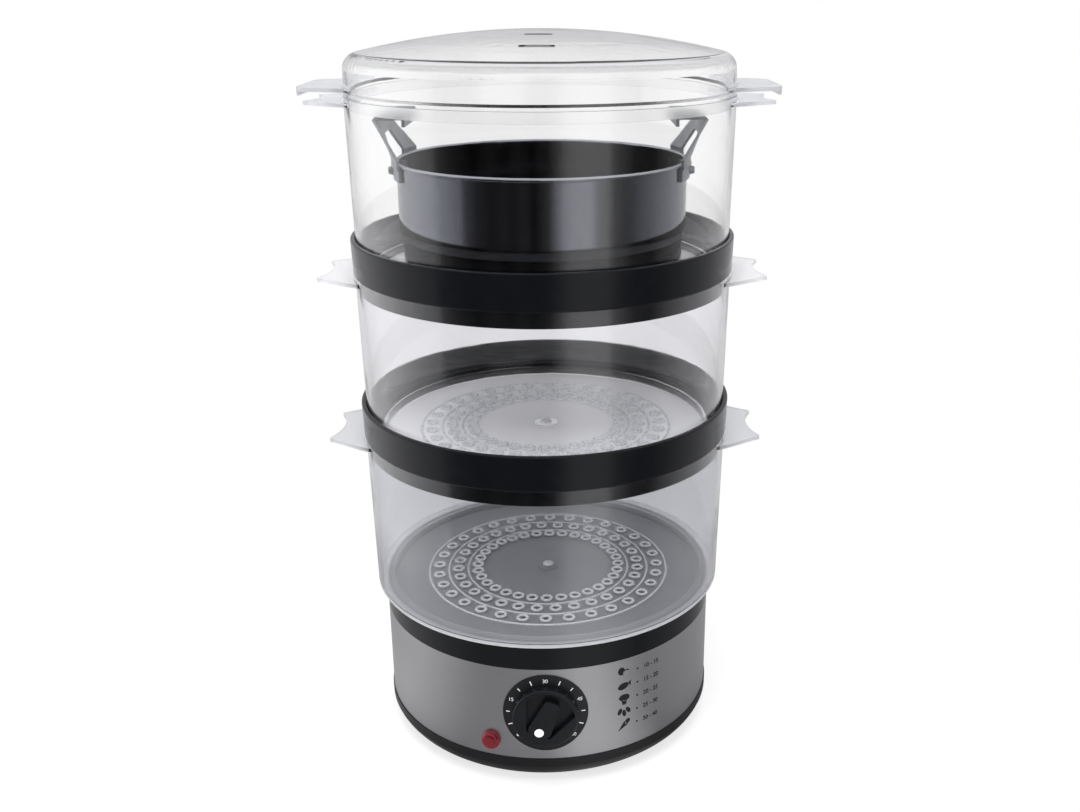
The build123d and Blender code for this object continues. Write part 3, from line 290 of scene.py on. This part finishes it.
fruit = [oval(-1.7, 1.2, 2.1, 2.4), oval(1.6, -0.8, 2.4, 2.7)]
fish = [oval(-0.5, 0, 3.4, 2.0, 0.3), [(2.0, 0.9), (4.2, 3.0), (4.0, -0.8)]]
mushroom = [oval(0.2, 1.1, 3.3, 2.1), [(-1.2, -0.6), (1.5, -0.6), (1.2, -3.4), (-0.8, -3.4)]]
beans = [oval(-2.5, 1.0, 1.2, 2.1, -0.4), oval(0.2, -0.4, 1.2, 2.1, 0.2), oval(2.7, 1.1, 1.2, 2.1, 0.6)]
carrot = [[(-3.5, -2.9), (2.6, 0.3), (0.3, 2.7)], oval(2.3, 2.3, 1.3, 1.9, -0.8)]
print_rows = (
    (fruit, "10 - 15"), (fish, "15 - 20"), (mushroom, "20 - 25"), (beans, "25 - 30"), (carrot, "30 - 40"))
food_films, time_films = [], []
for row, (food, minutes) in enumerate(print_rows):
    height = row_top - row * row_pitch
    food_films.append((flat_mesh("food", food), print_turn, height))
    food_films.append((flat_mesh("dot", [oval(0, 0, dot_mm, dot_mm)]), dot_turn, height))
    time_films.append((text_mesh("time", minutes, time_mm, bold_mm=time_bold_mm), time_turn, height))
food_print = print_on_drum("food_print", food_films, band_radius, ink_black)
time_print = print_on_drum("time_print", time_films, band_radius, ink_black)
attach(food_print, "base")
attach(time_print, "base")


# ---- water tank and collar ----
# One ABS moulding: the bowl that holds the water, and the glossy black collar above the band.
# It comes from a polished tool, so the collar mirrors the room, with faint sink waves some 18 mm long.
def polished(name, colour, roughness, wave_mm, wave_depth_mm):
    """A high-gloss moulding: an almost clean mirror over a dark body, with slow sink waves.

    A faint haze about 8 mm across varies its colour and gloss.
    """
    finish, tree = new_finish(name)
    place = add(tree, "TexCoord").outputs["Object"]
    waves = add(tree, "TexNoise", {"Vector": place, "Scale": 1000 / wave_mm, "Detail": 1.0})
    haze = add(tree, "TexNoise", {"Vector": place, "Scale": 120.0, "Detail": 4.0})
    gloss = add(tree, "MapRange", {
        "Value": haze.outputs["Fac"], **noise_span, "To Min": roughness * 0.7, "To Max": roughness * 1.5})
    tint = add(tree, "Mix", {
        0: haze.outputs["Fac"], 6: linear(colour), 7: toned(colour, 1.3)}, data_type="RGBA")
    bump = add(tree, "Bump", {
        "Height": waves.outputs["Fac"], "Strength": 0.6, "Distance": wave_depth_mm / 1000})
    shader = add(tree, "BsdfPrincipled", {
        "Base Color": tint.outputs[2], "Roughness": gloss.outputs["Result"],
        "IOR": 1.53, "Specular IOR Level": 0.2, "Normal": bump.outputs["Normal"]})
    add(tree, "OutputMaterial", {"Surface": shader.outputs["BSDF"]})
    return finish


gloss_black = polished("polished_black_abs", "#0C0D10", 0.12, 18.0, 0.05)
dress(gloss_black, "water_tank")


# ---- dial plate ----
# A thin ABS disc, satin black and curved to the band, which lies on it round the timer's shaft.
# It is pad-printed in white, with a tick every five minutes, a number each quarter hour, a dot at the start
# and a grey arc for off. The marks' sizes are in mm and their turns in degrees, clockwise from the top.
dial_face = -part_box("dial_plate")[0].y
dial_height = next(joint for joint in frame["joints"] if joint["name"] == "knob_turn")["pos_m"][2]
minute_turn = 4.4  # degrees from one minute to the next
top_minute = 30
tick_radius = 20.4
tick_width = 0.55
ten_tick = 2.0
odd_tick = 2.6
number_radius = 20.3
number_mm = 2.1
start_dot = 0.8
off_from, off_to, off_step = 196, 222, 2
off_half = 0.25
ink_white = moulded("white_pad_ink", "#D9DCDD", 0.45, 0.5, 0.002, 0.04)
ink_grey = moulded("grey_pad_ink", "#6F7376", 0.5, 0.5, 0.002, 0.04)


def dial_spot(turn_deg, radius):
    """A place on the dial in mm, clockwise from the top."""
    return radius * sin(radians(turn_deg)), radius * cos(radians(turn_deg))


def dial_bar(turn_deg, radius, length, width):
    """A radial bar on the dial."""
    out, side = dial_spot(turn_deg, 1), dial_spot(turn_deg + 90, 1)
    return [(out[0] * (radius + u * length / 2) + side[0] * v * width / 2,
             out[1] * (radius + u * length / 2) + side[1] * v * width / 2)
            for u, v in ((-1, -1), (-1, 1), (1, 1), (1, -1))]


dial_films = []
for minutes in range(0, 61, 5):
    turn_deg = (minutes - top_minute) * minute_turn
    if minutes % 15:
        bar = dial_bar(turn_deg, tick_radius, odd_tick if minutes % 10 else ten_tick, tick_width)
        dial_films.append((flat_mesh("tick", [bar]), 0, dial_height))
    elif minutes:
        film = text_mesh("number", str(minutes), number_mm, "CENTER")
        x, y = dial_spot(turn_deg, number_radius)
        dial_films.append((film, x / 1000 / dial_face, dial_height + y / 1000))
    else:
        dot = oval(*dial_spot(turn_deg, tick_radius), start_dot, start_dot)
        dial_films.append((flat_mesh("start", [dot]), 0, dial_height))
dial_print = print_on_drum("dial_print", dial_films, dial_face, ink_white)
off_turns = range(off_from, off_to + off_step, off_step)
outer_edge = [dial_spot(turn_deg, tick_radius + off_half) for turn_deg in off_turns]
inner_edge = [dial_spot(turn_deg, tick_radius - off_half) for turn_deg in reversed(off_turns)]
off_arc = flat_mesh("off", [outer_edge + inner_edge])
off_print = print_on_drum("off_print", [(off_arc, 0, dial_height)], dial_face, ink_grey)
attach(dial_print, "base")
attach(off_print, "base")
dial_black = moulded("moulded_dial_black", "#17181A", 0.38, 0.4, 0.01, 0.05)
dress(dial_black, "dial_plate")


# ---- timer knob ----
# A low ABS disc, scooped out round its tapered grip, pushed onto the timer's D shaft: a soft satin sheen.
# Its pointer is a smooth white inlay pressed into the grip's wide end.
knob_black = moulded("moulded_satin_knob_abs", "#111216", 0.3, 0.35, 0.012, 0.05)
dress(knob_black, "timer_knob")
dot_white = moulded("white_abs_inlay", "#ECEEEF", 0.35, 0.5, 0.004, 0.04)
dress(dot_white, "knob_pointer")


# ---- pilot lamp ----
# A domed lens of red acrylic, whose stem passes through the band into the lamp's body, over an unlit neon.
# Prisms about 1.4 mm wide break up what is behind it, so it is dark in its middle; its brighter rim is a
# painted highlight.
lamp_red, tree = new_finish("moulded_red_acrylic")
place = add(tree, "TexCoord").outputs["Object"]
cells = add(tree, "TexVoronoi", {"Vector": place, "Scale": 700.0}, feature="DISTANCE_TO_EDGE")
edge = add(tree, "LayerWeight", {"Blend": 0.35})
# Painted highlight: the colour is lighter where the lens faces away from the view.
tint = add(tree, "Mix", {
    0: edge.outputs["Facing"], 6: linear("#5E0A16"), 7: linear("#A83A48")}, data_type="RGBA")
bump = add(tree, "Bump", {"Height": cells.outputs["Distance"], "Strength": 0.3, "Distance": 0.0002})
shader = add(tree, "BsdfPrincipled", {
    "Base Color": tint.outputs[2], "Roughness": 0.12, "IOR": 1.49, "Transmission Weight": 0.25,
    "Normal": bump.outputs["Normal"]})
add(tree, "OutputMaterial", {"Surface": shader.outputs["BSDF"]})
dress(lamp_red, "lamp_lens")


# ---- steam ring and drip tray ----
# Two loose polypropylene mouldings with a satin grain: the black ring stands round the heater, and the dark
# grey tray lies on the tank's ledge and catches the drips above it.
tray_black = moulded("moulded_tray_polypropylene", "#2A2B2E", 0.4, 0.5, 0.012, 0.05)
dress(tray_black, "steam_ring")
tray_grey = moulded("moulded_grey_polypropylene", "#3A3B3F", 0.4, 0.5, 0.012, 0.05)
dress(tray_grey, "drip_tray")


# ---- baskets ----
# Clear styrene acrylonitrile tubs, each stepping down into the piece that carries it.
# The walls are water-clear with slow ripples of 25 mm; the etched floors and textured handles look milky.
# Lamps shine through the plastic, so that what is inside is lit.
handle_from = 0.1022
handle_blend = 0.0012
handle_frost = 0.3
handle_milk = 0.34


def clear_moulding(name, tint, etched_tint, handle_tint, low, high, frost, milk):
    """Clear plastic, etched between two heights, low and high.

    Where it is etched it blurs by frost and scatters a share, milk, of the light. The etched part and the
    handles have tints of their own.
    """
    finish, tree = new_finish(name)
    place = add(tree, "TexCoord").outputs["Object"]
    ripples = add(tree, "TexNoise", {"Vector": place, "Scale": 40.0, "Detail": 2.0})
    gloss = add(tree, "MapRange", {
        "Value": ripples.outputs["Fac"], **noise_span, "To Min": 0.01, "To Max": 0.05}).outputs[0]
    height = add(tree, "SeparateXYZ", {"Vector": place}).outputs["Z"]
    under = add(tree, "Math", {0: height, 1: high}, operation="LESS_THAN").outputs[0]
    over = add(tree, "Math", {0: height, 1: low}, operation="GREATER_THAN").outputs[0]
    etched = add(tree, "Math", {0: over, 1: under}, operation="MULTIPLY").outputs[0]
    flat = add(tree, "VectorMath", {0: place, 1: (1.0, 1.0, 0.0)}, operation="MULTIPLY").outputs["Vector"]
    handle = add(tree, "MapRange", {
        "Value": add(tree, "VectorMath", {0: flat}, operation="LENGTH").outputs["Value"],
        "From Min": handle_from, "From Max": handle_from + handle_blend}).outputs[0]
    clear, colour = 1.0, linear(tint)
    for share, blur, scatter, shade in (
            (etched, frost, milk, etched_tint), (handle, handle_frost, handle_milk, handle_tint)):
        gloss = add(tree, "Math", {0: share, 1: blur, 2: gloss}, operation="MULTIPLY_ADD").outputs[0]
        clear = add(tree, "Math", {0: share, 1: -scatter, 2: clear}, operation="MULTIPLY_ADD").outputs[0]
        colour = add(tree, "Mix", {0: share, 6: colour, 7: linear(shade)}, data_type="RGBA").outputs[2]
    bump = add(tree, "Bump", {"Height": ripples.outputs["Fac"], "Strength": 0.15, "Distance": 0.0005})
    glass = add(tree, "BsdfPrincipled", {
        "Base Color": colour, "Roughness": gloss, "IOR": 1.57,
        "Transmission Weight": clear, "Normal": bump.outputs["Normal"]})
    through = add(tree, "BsdfTransparent", {"Color": linear("#F8F8F9")})
    path = add(tree, "LightPath")
    lets_light = add(tree, "Math", {
        0: path.outputs["Is Shadow Ray"], 1: path.outputs["Is Diffuse Ray"]}, operation="MAXIMUM")
    surface = add(tree, "MixShader", {
        0: lets_light.outputs[0], 1: glass.outputs["BSDF"], 2: through.outputs["BSDF"]})
    add(tree, "OutputMaterial", {"Surface": surface.outputs["Shader"]})
    return finish


basket_floor = 0.002
basket_step = 0.0052
etch_reach = 0.0002
etch_frost = 0.3
# Each basket's tints for walls, floor and handles, the floor's milkiness, and how far the etching climbs.
basket_looks = {
    # The lower basket's greyer tints are painted shade, because it sits low and is lit less than the others.
    "basket_lower": ("#DCDDE0", "#E2E3E6", "#DCDDE0", 0.3, basket_step),
    "basket_middle": ("#F5F5F7", "#FFFFFF", "#F2F2F4", 0.95, etch_reach),
    "basket_upper": ("#FFFFFF", "#FFFFFF", "#E4E5E8", 0.6, etch_reach)}
for name, (tint, etched_tint, handle_tint, milk, etch_rise) in basket_looks.items():
    floor_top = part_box(name)[0].z + basket_floor
    basket_san = clear_moulding(
        "clear_san_" + name, tint, etched_tint, handle_tint,
        floor_top - etch_reach, floor_top + etch_rise, etch_frost, milk)
    dress(basket_san, name)


# ---- basket floor trims ----
# Each hole in a floor has a rounded collar between rounded ribs, and a gate button stands at the middle.
# They come from an unpolished part of the tool, whose grain is drawn at 1.1 mm; their near-white colour is
# partly a painted highlight, for the glints their rounded edges catch.
# The pot stands on the upper floor, so the rims are lower there and the button is left out.
hole_rings = (0.042, 0.0535, 0.065)
hole_count = 32
collar_reach = 0.0027
collar_bead = 0.0009
rib_rings = (0.04775, 0.05925, 0.07075)
rib_bead = 0.0007
rib_lift = 0.0002
rib_steps = 128
button_lift = 0.0009
button_radius = 0.0034
button_rise = 0.0016
pot_sink = 0.0007


def bead_ring(bm, x, y, z, reach, bead, around=20, section=8):
    """A small torus lying flat: reach is its radius, and bead the radius of its round section."""
    loops = []
    for i in range(around):
        turn = 2 * pi * i / around
        loops.append([bm.verts.new((
            x + (reach + bead * cos(2 * pi * j / section)) * cos(turn),
            y + (reach + bead * cos(2 * pi * j / section)) * sin(turn),
            z + bead * sin(2 * pi * j / section))) for j in range(section)])
    for i, loop in enumerate(loops):
        after = loops[(i + 1) % around]
        for j in range(section):
            above = (j + 1) % section
            bm.faces.new((loop[j], after[j], after[above], loop[above]))


def dome(bm, z, radius, rise, around=32, steps=6):
    """A closed low dome on the axis."""
    rows = []
    for k in range(steps):
        lean = pi / 2 * k / steps
        rows.append([bm.verts.new((
            radius * cos(lean) * cos(2 * pi * i / around),
            radius * cos(lean) * sin(2 * pi * i / around),
            z + rise * sin(lean))) for i in range(around)])
    tip = bm.verts.new((0, 0, z + rise))
    bm.faces.new(list(reversed(rows[0])))
    for low, high in zip(rows, rows[1:]):
        for i in range(around):
            bm.faces.new((low[i], low[(i + 1) % around], high[(i + 1) % around], high[i]))
    for i in range(around):
        bm.faces.new((rows[-1][i], rows[-1][(i + 1) % around], tip))


def solid_piece(name, bm, finish):
    """A smooth piece from a bmesh."""
    mesh = bpy.data.meshes.new(name)
    bm.to_mesh(mesh)
    bm.free()
    mesh.materials.append(finish)
    mesh.shade_smooth()
    piece = bpy.data.objects.new(name, mesh)
    bpy.context.collection.objects.link(piece)
    return piece


frosted_san_painted_glint, tree = new_finish("frosted_san_with_painted_glint")
place = add(tree, "TexCoord").outputs["Object"]
grain = add(tree, "TexNoise", {"Vector": place, "Scale": 900.0, "Detail": 2.0})
gloss = add(tree, "MapRange", {"Value": grain.outputs["Fac"], "To Min": 0.15, "To Max": 0.4})
bump = add(tree, "Bump", {"Height": grain.outputs["Fac"], "Strength": 0.3, "Distance": 0.0001})
# The near-white base colour is partly a painted highlight.
shader = add(tree, "BsdfPrincipled", {
    "Base Color": linear("#F2F3F5"), "Roughness": gloss.outputs["Result"], "IOR": 1.57,
    "Transmission Weight": 0.2, "Normal": bump.outputs["Normal"]})
add(tree, "OutputMaterial", {"Surface": shader.outputs["BSDF"]})
for name in basket_looks:
    under_pot = name == "basket_upper"
    floor_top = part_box(name)[0].z + basket_floor - (pot_sink if under_pot else 0.0)
    bm = bmesh.new()
    for ring in rib_rings:
        bead_ring(bm, 0, 0, floor_top + rib_lift, ring, rib_bead, around=rib_steps)
    for index, ring in enumerate(hole_rings):
        for hole in range(hole_count):
            turn = 2 * pi * (hole + index / 2) / hole_count
            x, y = ring * cos(turn), ring * sin(turn)
            bead_ring(bm, x, y, floor_top + collar_bead, collar_reach, collar_bead)
    if not under_pot:
        dome(bm, floor_top + button_lift, button_radius, button_rise)
    trim = solid_piece(name + "_trim", bm, frosted_san_painted_glint)
    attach(trim, name)


# ---- lid ----
# A clear dome moulded like the baskets, which rests on the upper basket's rim; its handles are greyer.
# The lip that hangs inside that rim is faintly textured.
lid_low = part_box("lid")[0].z
lip_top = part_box("basket_upper")[1].z
lip_frost = 0.12
lip_milk = 0.04
lid_san = clear_moulding(
    "clear_san_lid", "#FFFFFF", "#FFFFFF", "#CFD0D3", lid_low, lip_top, lip_frost, lip_milk)
dress(lid_san, "lid")


# ---- joining rings ----
# Two loose polypropylene rings: each sits on a basket's rim and takes the next basket's foot.
# They are gloss black like the collar, with slightly broader sink waves, some 22 mm long.
ring_black = polished("polished_black_polypropylene", "#0D0E11", 0.14, 22.0, 0.06)
dress(ring_black, "ring_lower", "ring_upper")


# ---- rice pot ----
# Pressed steel with a rolled rim, spin-polished under a thin grey coating that mirrors like the metal itself.
# The rim is bare, and the step pressed in at the waist, where the smaller foot begins, is duller and darkened
# by painted shade.
# The polishing lines are some 0.1 mm apart, drawn at 0.6 mm so that they show.
spin_pitch = 0.0006
spin_depth = 0.00002
rim_depth = 0.0011
rim_blend = 0.0004
waist_rise = 0.021
waist_half = 0.0021
waist_blend = 0.0006
pot_low, pot_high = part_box("pot_body")

pot_grey, tree = new_finish("grey_coated_steel")
place = add(tree, "SeparateXYZ", {"Vector": add(tree, "TexCoord").outputs["Object"]})
flat = add(tree, "CombineXYZ", {"X": place.outputs["X"], "Y": place.outputs["Y"]})
from_axis = add(tree, "VectorMath", {0: flat.outputs["Vector"]}, operation="LENGTH").outputs["Value"]
run = add(tree, "Math", {0: place.outputs["Z"], 1: from_axis}, operation="ADD")
lines = add(tree, "Math", {0: run.outputs[0], 1: 1 / spin_pitch}, operation="MULTIPLY")
grid = add(tree, "CombineXYZ", {"Z": lines.outputs[0]})
spin = add(tree, "TexNoise", {"Vector": grid.outputs["Vector"], "Scale": 1.0, "Detail": 2.0})
rim = add(tree, "MapRange", {
    "Value": place.outputs["Z"],
    "From Min": pot_high.z - rim_depth, "From Max": pot_high.z - rim_depth + rim_blend}).outputs[0]
away = add(tree, "Math", {0: place.outputs["Z"], 1: pot_low.z + waist_rise}, operation="SUBTRACT")
away = add(tree, "Math", {0: away.outputs[0]}, operation="ABSOLUTE")
painted_waist_shade = add(tree, "MapRange", {
    "Value": away.outputs[0], "From Min": waist_half, "From Max": waist_half + waist_blend,
    "To Min": 1.0, "To Max": 0.0}).outputs[0]
tint = add(tree, "Mix", {
    0: spin.outputs["Fac"], 6: linear("#6A6C73"), 7: linear("#76787F")}, data_type="RGBA")
tint = add(tree, "Mix", {0: rim, 6: tint.outputs[2], 7: linear("#9A9CA2")}, data_type="RGBA")
# Painted shade: the step at the waist is darkened, and its gloss is made duller.
tint = add(tree, "Mix", {0: painted_waist_shade, 6: tint.outputs[2], 7: linear("#2E2F34")}, data_type="RGBA")
gloss = add(tree, "MapRange", {"Value": spin.outputs["Fac"], **noise_span, "To Min": 0.03, "To Max": 0.07})
gloss = add(tree, "Math", {0: painted_waist_shade, 1: 0.3, 2: gloss.outputs["Result"]}, operation="MULTIPLY_ADD")
metal = add(tree, "Math", {0: rim, 1: -0.5, 2: 1.0}, operation="MULTIPLY_ADD")
bump = add(tree, "Bump", {"Height": spin.outputs["Fac"], "Strength": 0.2, "Distance": spin_depth})
shader = add(tree, "BsdfPrincipled", {
    "Base Color": tint.outputs[2], "Roughness": gloss.outputs[0], "Metallic": metal.outputs[0],
    "Normal": bump.outputs["Normal"]})
add(tree, "OutputMaterial", {"Surface": shader.outputs["BSDF"]})
dress(pot_grey, "pot_body")


# ---- pot handles and rivets ----
# Strap handles stamped from steel sheet, folded and riveted to the pot's wall.
# Tumbling leaves them a satin grey, slightly blotchy at a scale of 4 mm.
strap_steel = plated("satin_strap_steel", "#8D9094", 0.36, 4.0)
dress(strap_steel, "pot_handle_left", "pot_handle_right", "pot_rivets")


# ---- floor and daylight tent ----
# A white table in a white tent. The tent's front is a dark room with a tall window on the right,
# which is what gloss and metal mirror there.
floor_radius = 0.42


def compass(tree, direction, stops):
    """A faintly cool brightness by compass turn: 0 is straight in front, right is positive, in degrees."""
    way = add(tree, "SeparateXYZ", {"Vector": direction})
    back = add(tree, "Math", {0: way.outputs["Y"], 1: -1.0}, operation="MULTIPLY")
    turn = add(tree, "Math", {0: way.outputs["X"], 1: back.outputs[0]}, operation="ARCTAN2")
    share = add(tree, "MapRange", {"Value": turn.outputs[0], "From Min": -pi, "From Max": pi})
    ramp = add(tree, "ValToRGB", {"Fac": share.outputs["Result"]})
    elements = ramp.color_ramp.elements
    for degree, level in stops[1:-1]:
        elements.new(0.5 + degree / 360)
    for element, (degree, level) in zip(elements, stops):
        element.position, element.color = 0.5 + degree / 360, (level, level, level * 1.02, 1)
    return ramp.outputs["Color"]


def ray_kinds(tree):
    """Two switches: what the camera sees, also through plastic, and what gloss and metal mirror."""
    path = add(tree, "LightPath")
    direct = add(tree, "Math", {
        0: path.outputs["Is Camera Ray"], 1: path.outputs["Is Transmission Ray"]}, operation="MAXIMUM")
    mirrored = add(tree, "Math", {
        0: path.outputs["Glossy Depth"], 1: path.outputs["Is Diffuse Ray"]},
        operation="SUBTRACT", use_clamp=True)
    return direct.outputs[0], mirrored.outputs[0]


bpy.ops.mesh.primitive_circle_add(vertices=96, radius=floor_radius, fill_type="NGON", location=(0, 0, 0))
floor = bpy.context.object
floor.name = "floor"
white_table, tree = new_finish("white_table")
place = add(tree, "TexCoord").outputs["Object"]
reach = add(tree, "VectorMath", {0: place}, operation="LENGTH").outputs["Value"]
# The camera sees white, with a matt share near the object that keeps its shadow.
near = add(tree, "MapRange", {
    "Value": reach, "From Min": 0.16, "From Max": 0.38, "To Min": 0.3, "To Max": 0.0},
    interpolation_type="SMOOTHSTEP").outputs["Result"]
lit = add(tree, "Math", {0: 1.0, 1: near}, operation="SUBTRACT")
glow = add(tree, "Emission", {"Color": linear("#FFFFFF"), "Strength": lit.outputs[0]})
matt = add(tree, "BsdfDiffuse", {"Color": near})
seen = add(tree, "AddShader", {0: glow.outputs["Emission"], 1: matt.outputs["BSDF"]})
# Lamps light a plain pale floor.
plain = add(tree, "BsdfDiffuse", {"Color": linear("#E6E6E6")})
# Gloss mirrors a floor with the window's sheen on it, darkened by a painted shadow near the object, and
# fading out into the tent.
sheen = compass(tree, place, (
    (-180, 0.6), (-118, 0.5), (-78, 0.78), (-60, 0.65), (-36, 0.36), (0, 0.42), (14, 0.85), (28, 0.8),
    (52, 0.28), (66, 0.38), (100, 0.45), (180, 0.6)))
shaded = add(tree, "MapRange", {
    "Value": reach, "From Min": 0.1, "From Max": 0.13, "To Min": 0.7, "To Max": 1.0},
    interpolation_type="SMOOTHSTEP").outputs["Result"]
mirror = add(tree, "Emission", {"Color": sheen, "Strength": shaded})
edge = add(tree, "MapRange", {
    "Value": reach, "From Min": 0.24, "From Max": 0.34, "To Min": 1.0, "To Max": 0.0},
    interpolation_type="SMOOTHSTEP").outputs["Result"]
mirror = add(tree, "MixShader", {
    0: edge, 1: add(tree, "BsdfTransparent").outputs["BSDF"], 2: mirror.outputs["Emission"]})
direct, mirrored = ray_kinds(tree)
surface = add(tree, "MixShader", {0: direct, 1: plain.outputs["BSDF"], 2: seen.outputs["Shader"]})
surface = add(tree, "MixShader", {0: mirrored, 1: surface.outputs["Shader"], 2: mirror.outputs["Shader"]})
add(tree, "OutputMaterial", {"Surface": surface.outputs["Shader"]})
floor.data.materials.append(white_table)

tent = bpy.data.worlds.new("tent")
tent.use_nodes = True
tree = tent.node_tree
tree.nodes.clear()
toward = add(tree, "TexCoord").outputs["Generated"]
walls = compass(tree, toward, (
    (-180, 0.62), (-140, 0.8), (-116, 1.2), (-100, 1.2), (-88, 1.05), (-76, 0.85), (-65, 0.6), (-60, 0.2),
    (-51, 0.08), (-38, 0.012), (-28, 0.05), (-20, 0.02), (-12, 0.05), (-4, 0.015), (5, 0.08), (10, 0.3),
    (16, 0.75), (25, 0.95), (39, 0.9), (44, 0.4), (56, 0.1), (68, 0.07), (78, 0.25), (96, 0.55),
    (125, 0.75), (180, 0.62)))
above = add(tree, "MapRange", {
    "Value": add(tree, "SeparateXYZ", {"Vector": toward}).outputs["Z"],
    "From Min": 0.35, "From Max": 0.7, "To Min": 0.0, "To Max": 1.0}, interpolation_type="SMOOTHSTEP")
walls = add(tree, "Mix", {0: above.outputs["Result"], 6: walls, 7: linear("#EDEDEF")}, data_type="RGBA")
# Gloss mirrors the room's walls, the camera sees white, and all else is lit by an even, softer white.
room = add(tree, "Background", {"Color": walls.outputs[2], "Strength": 1.0})
soft = add(tree, "Background", {"Color": linear("#FFFFFF"), "Strength": 0.9})
white = add(tree, "Background", {"Color": linear("#FFFFFF"), "Strength": 1.0})
direct, mirrored = ray_kinds(tree)
surface = add(tree, "MixShader", {0: direct, 1: soft.outputs["Background"], 2: white.outputs["Background"]})
surface = add(tree, "MixShader", {0: mirrored, 1: surface.outputs["Shader"], 2: room.outputs["Background"]})
add(tree, "OutputWorld", {"Surface": surface.outputs["Shader"]})
bpy.context.scene.world = tent

# Light crosses up to a dozen walls of clear plastic.
bounces = bpy.context.scene.cycles
bounces.max_bounces = 24
bounces.transmission_bounces = 24
bounces.glossy_bounces = 6
bounces.transparent_max_bounces = 24


# ---- lamps ----
# A wide box on the left, a narrow strip on the right and a soft top light, all aimed at the baskets.
# A row holds the turn from the front in degrees, height, distance, width and length in metres, and watts.
aim = Vector((0, 0, 0.2))
for name, turn_deg, height, distance, wide, tall, watts in (
        ("left_box", -62, 0.45, 1.3, 0.7, 1.1, 4.0),
        ("right_strip", 36, 0.4, 1.3, 0.16, 1.1, 2.2),
        ("top_box", -10, 1.6, 0.5, 0.9, 0.9, 20.0)):
    light = bpy.data.lights.new(name, "AREA")
    light.shape, light.size, light.size_y, light.energy = "RECTANGLE", wide, tall, watts
    lamp = bpy.data.objects.new(name, light)
    bpy.context.collection.objects.link(lamp)
    lamp.location = (distance * sin(radians(turn_deg)), -distance * cos(radians(turn_deg)), height)
    lamp.rotation_euler = (aim - lamp.location).to_track_quat("-Z", "Y").to_euler()
    lamp.visible_camera = False
    lamp.visible_glossy = False
    lamp.visible_transmission = False


# ---- camera ----
# About 63 cm in front of the steamer and 41 cm up, looking down on it by some 20 degrees.
# It stands a little to the right and looks a little further right, and the lens is shifted back to the left,
# which leaves the steamer's axis at the middle of the frame.
camera_place = (0.016659, -0.629672, 0.412215)
look_down = 19.6638
look_right = 1.0
lens = bpy.data.cameras.new("camera")
lens.sensor_width, lens.lens, lens.shift_x = 36.0, 38.8556, -0.05004
lens.clip_start = 0.01
camera = bpy.data.objects.new("camera", lens)
bpy.context.collection.objects.link(camera)
camera.location = camera_place
camera.rotation_euler = (radians(90 - look_down), 0, radians(-look_right))
bpy.context.scene.camera = camera
bpy.context.scene.view_settings.view_transform = "Standard"
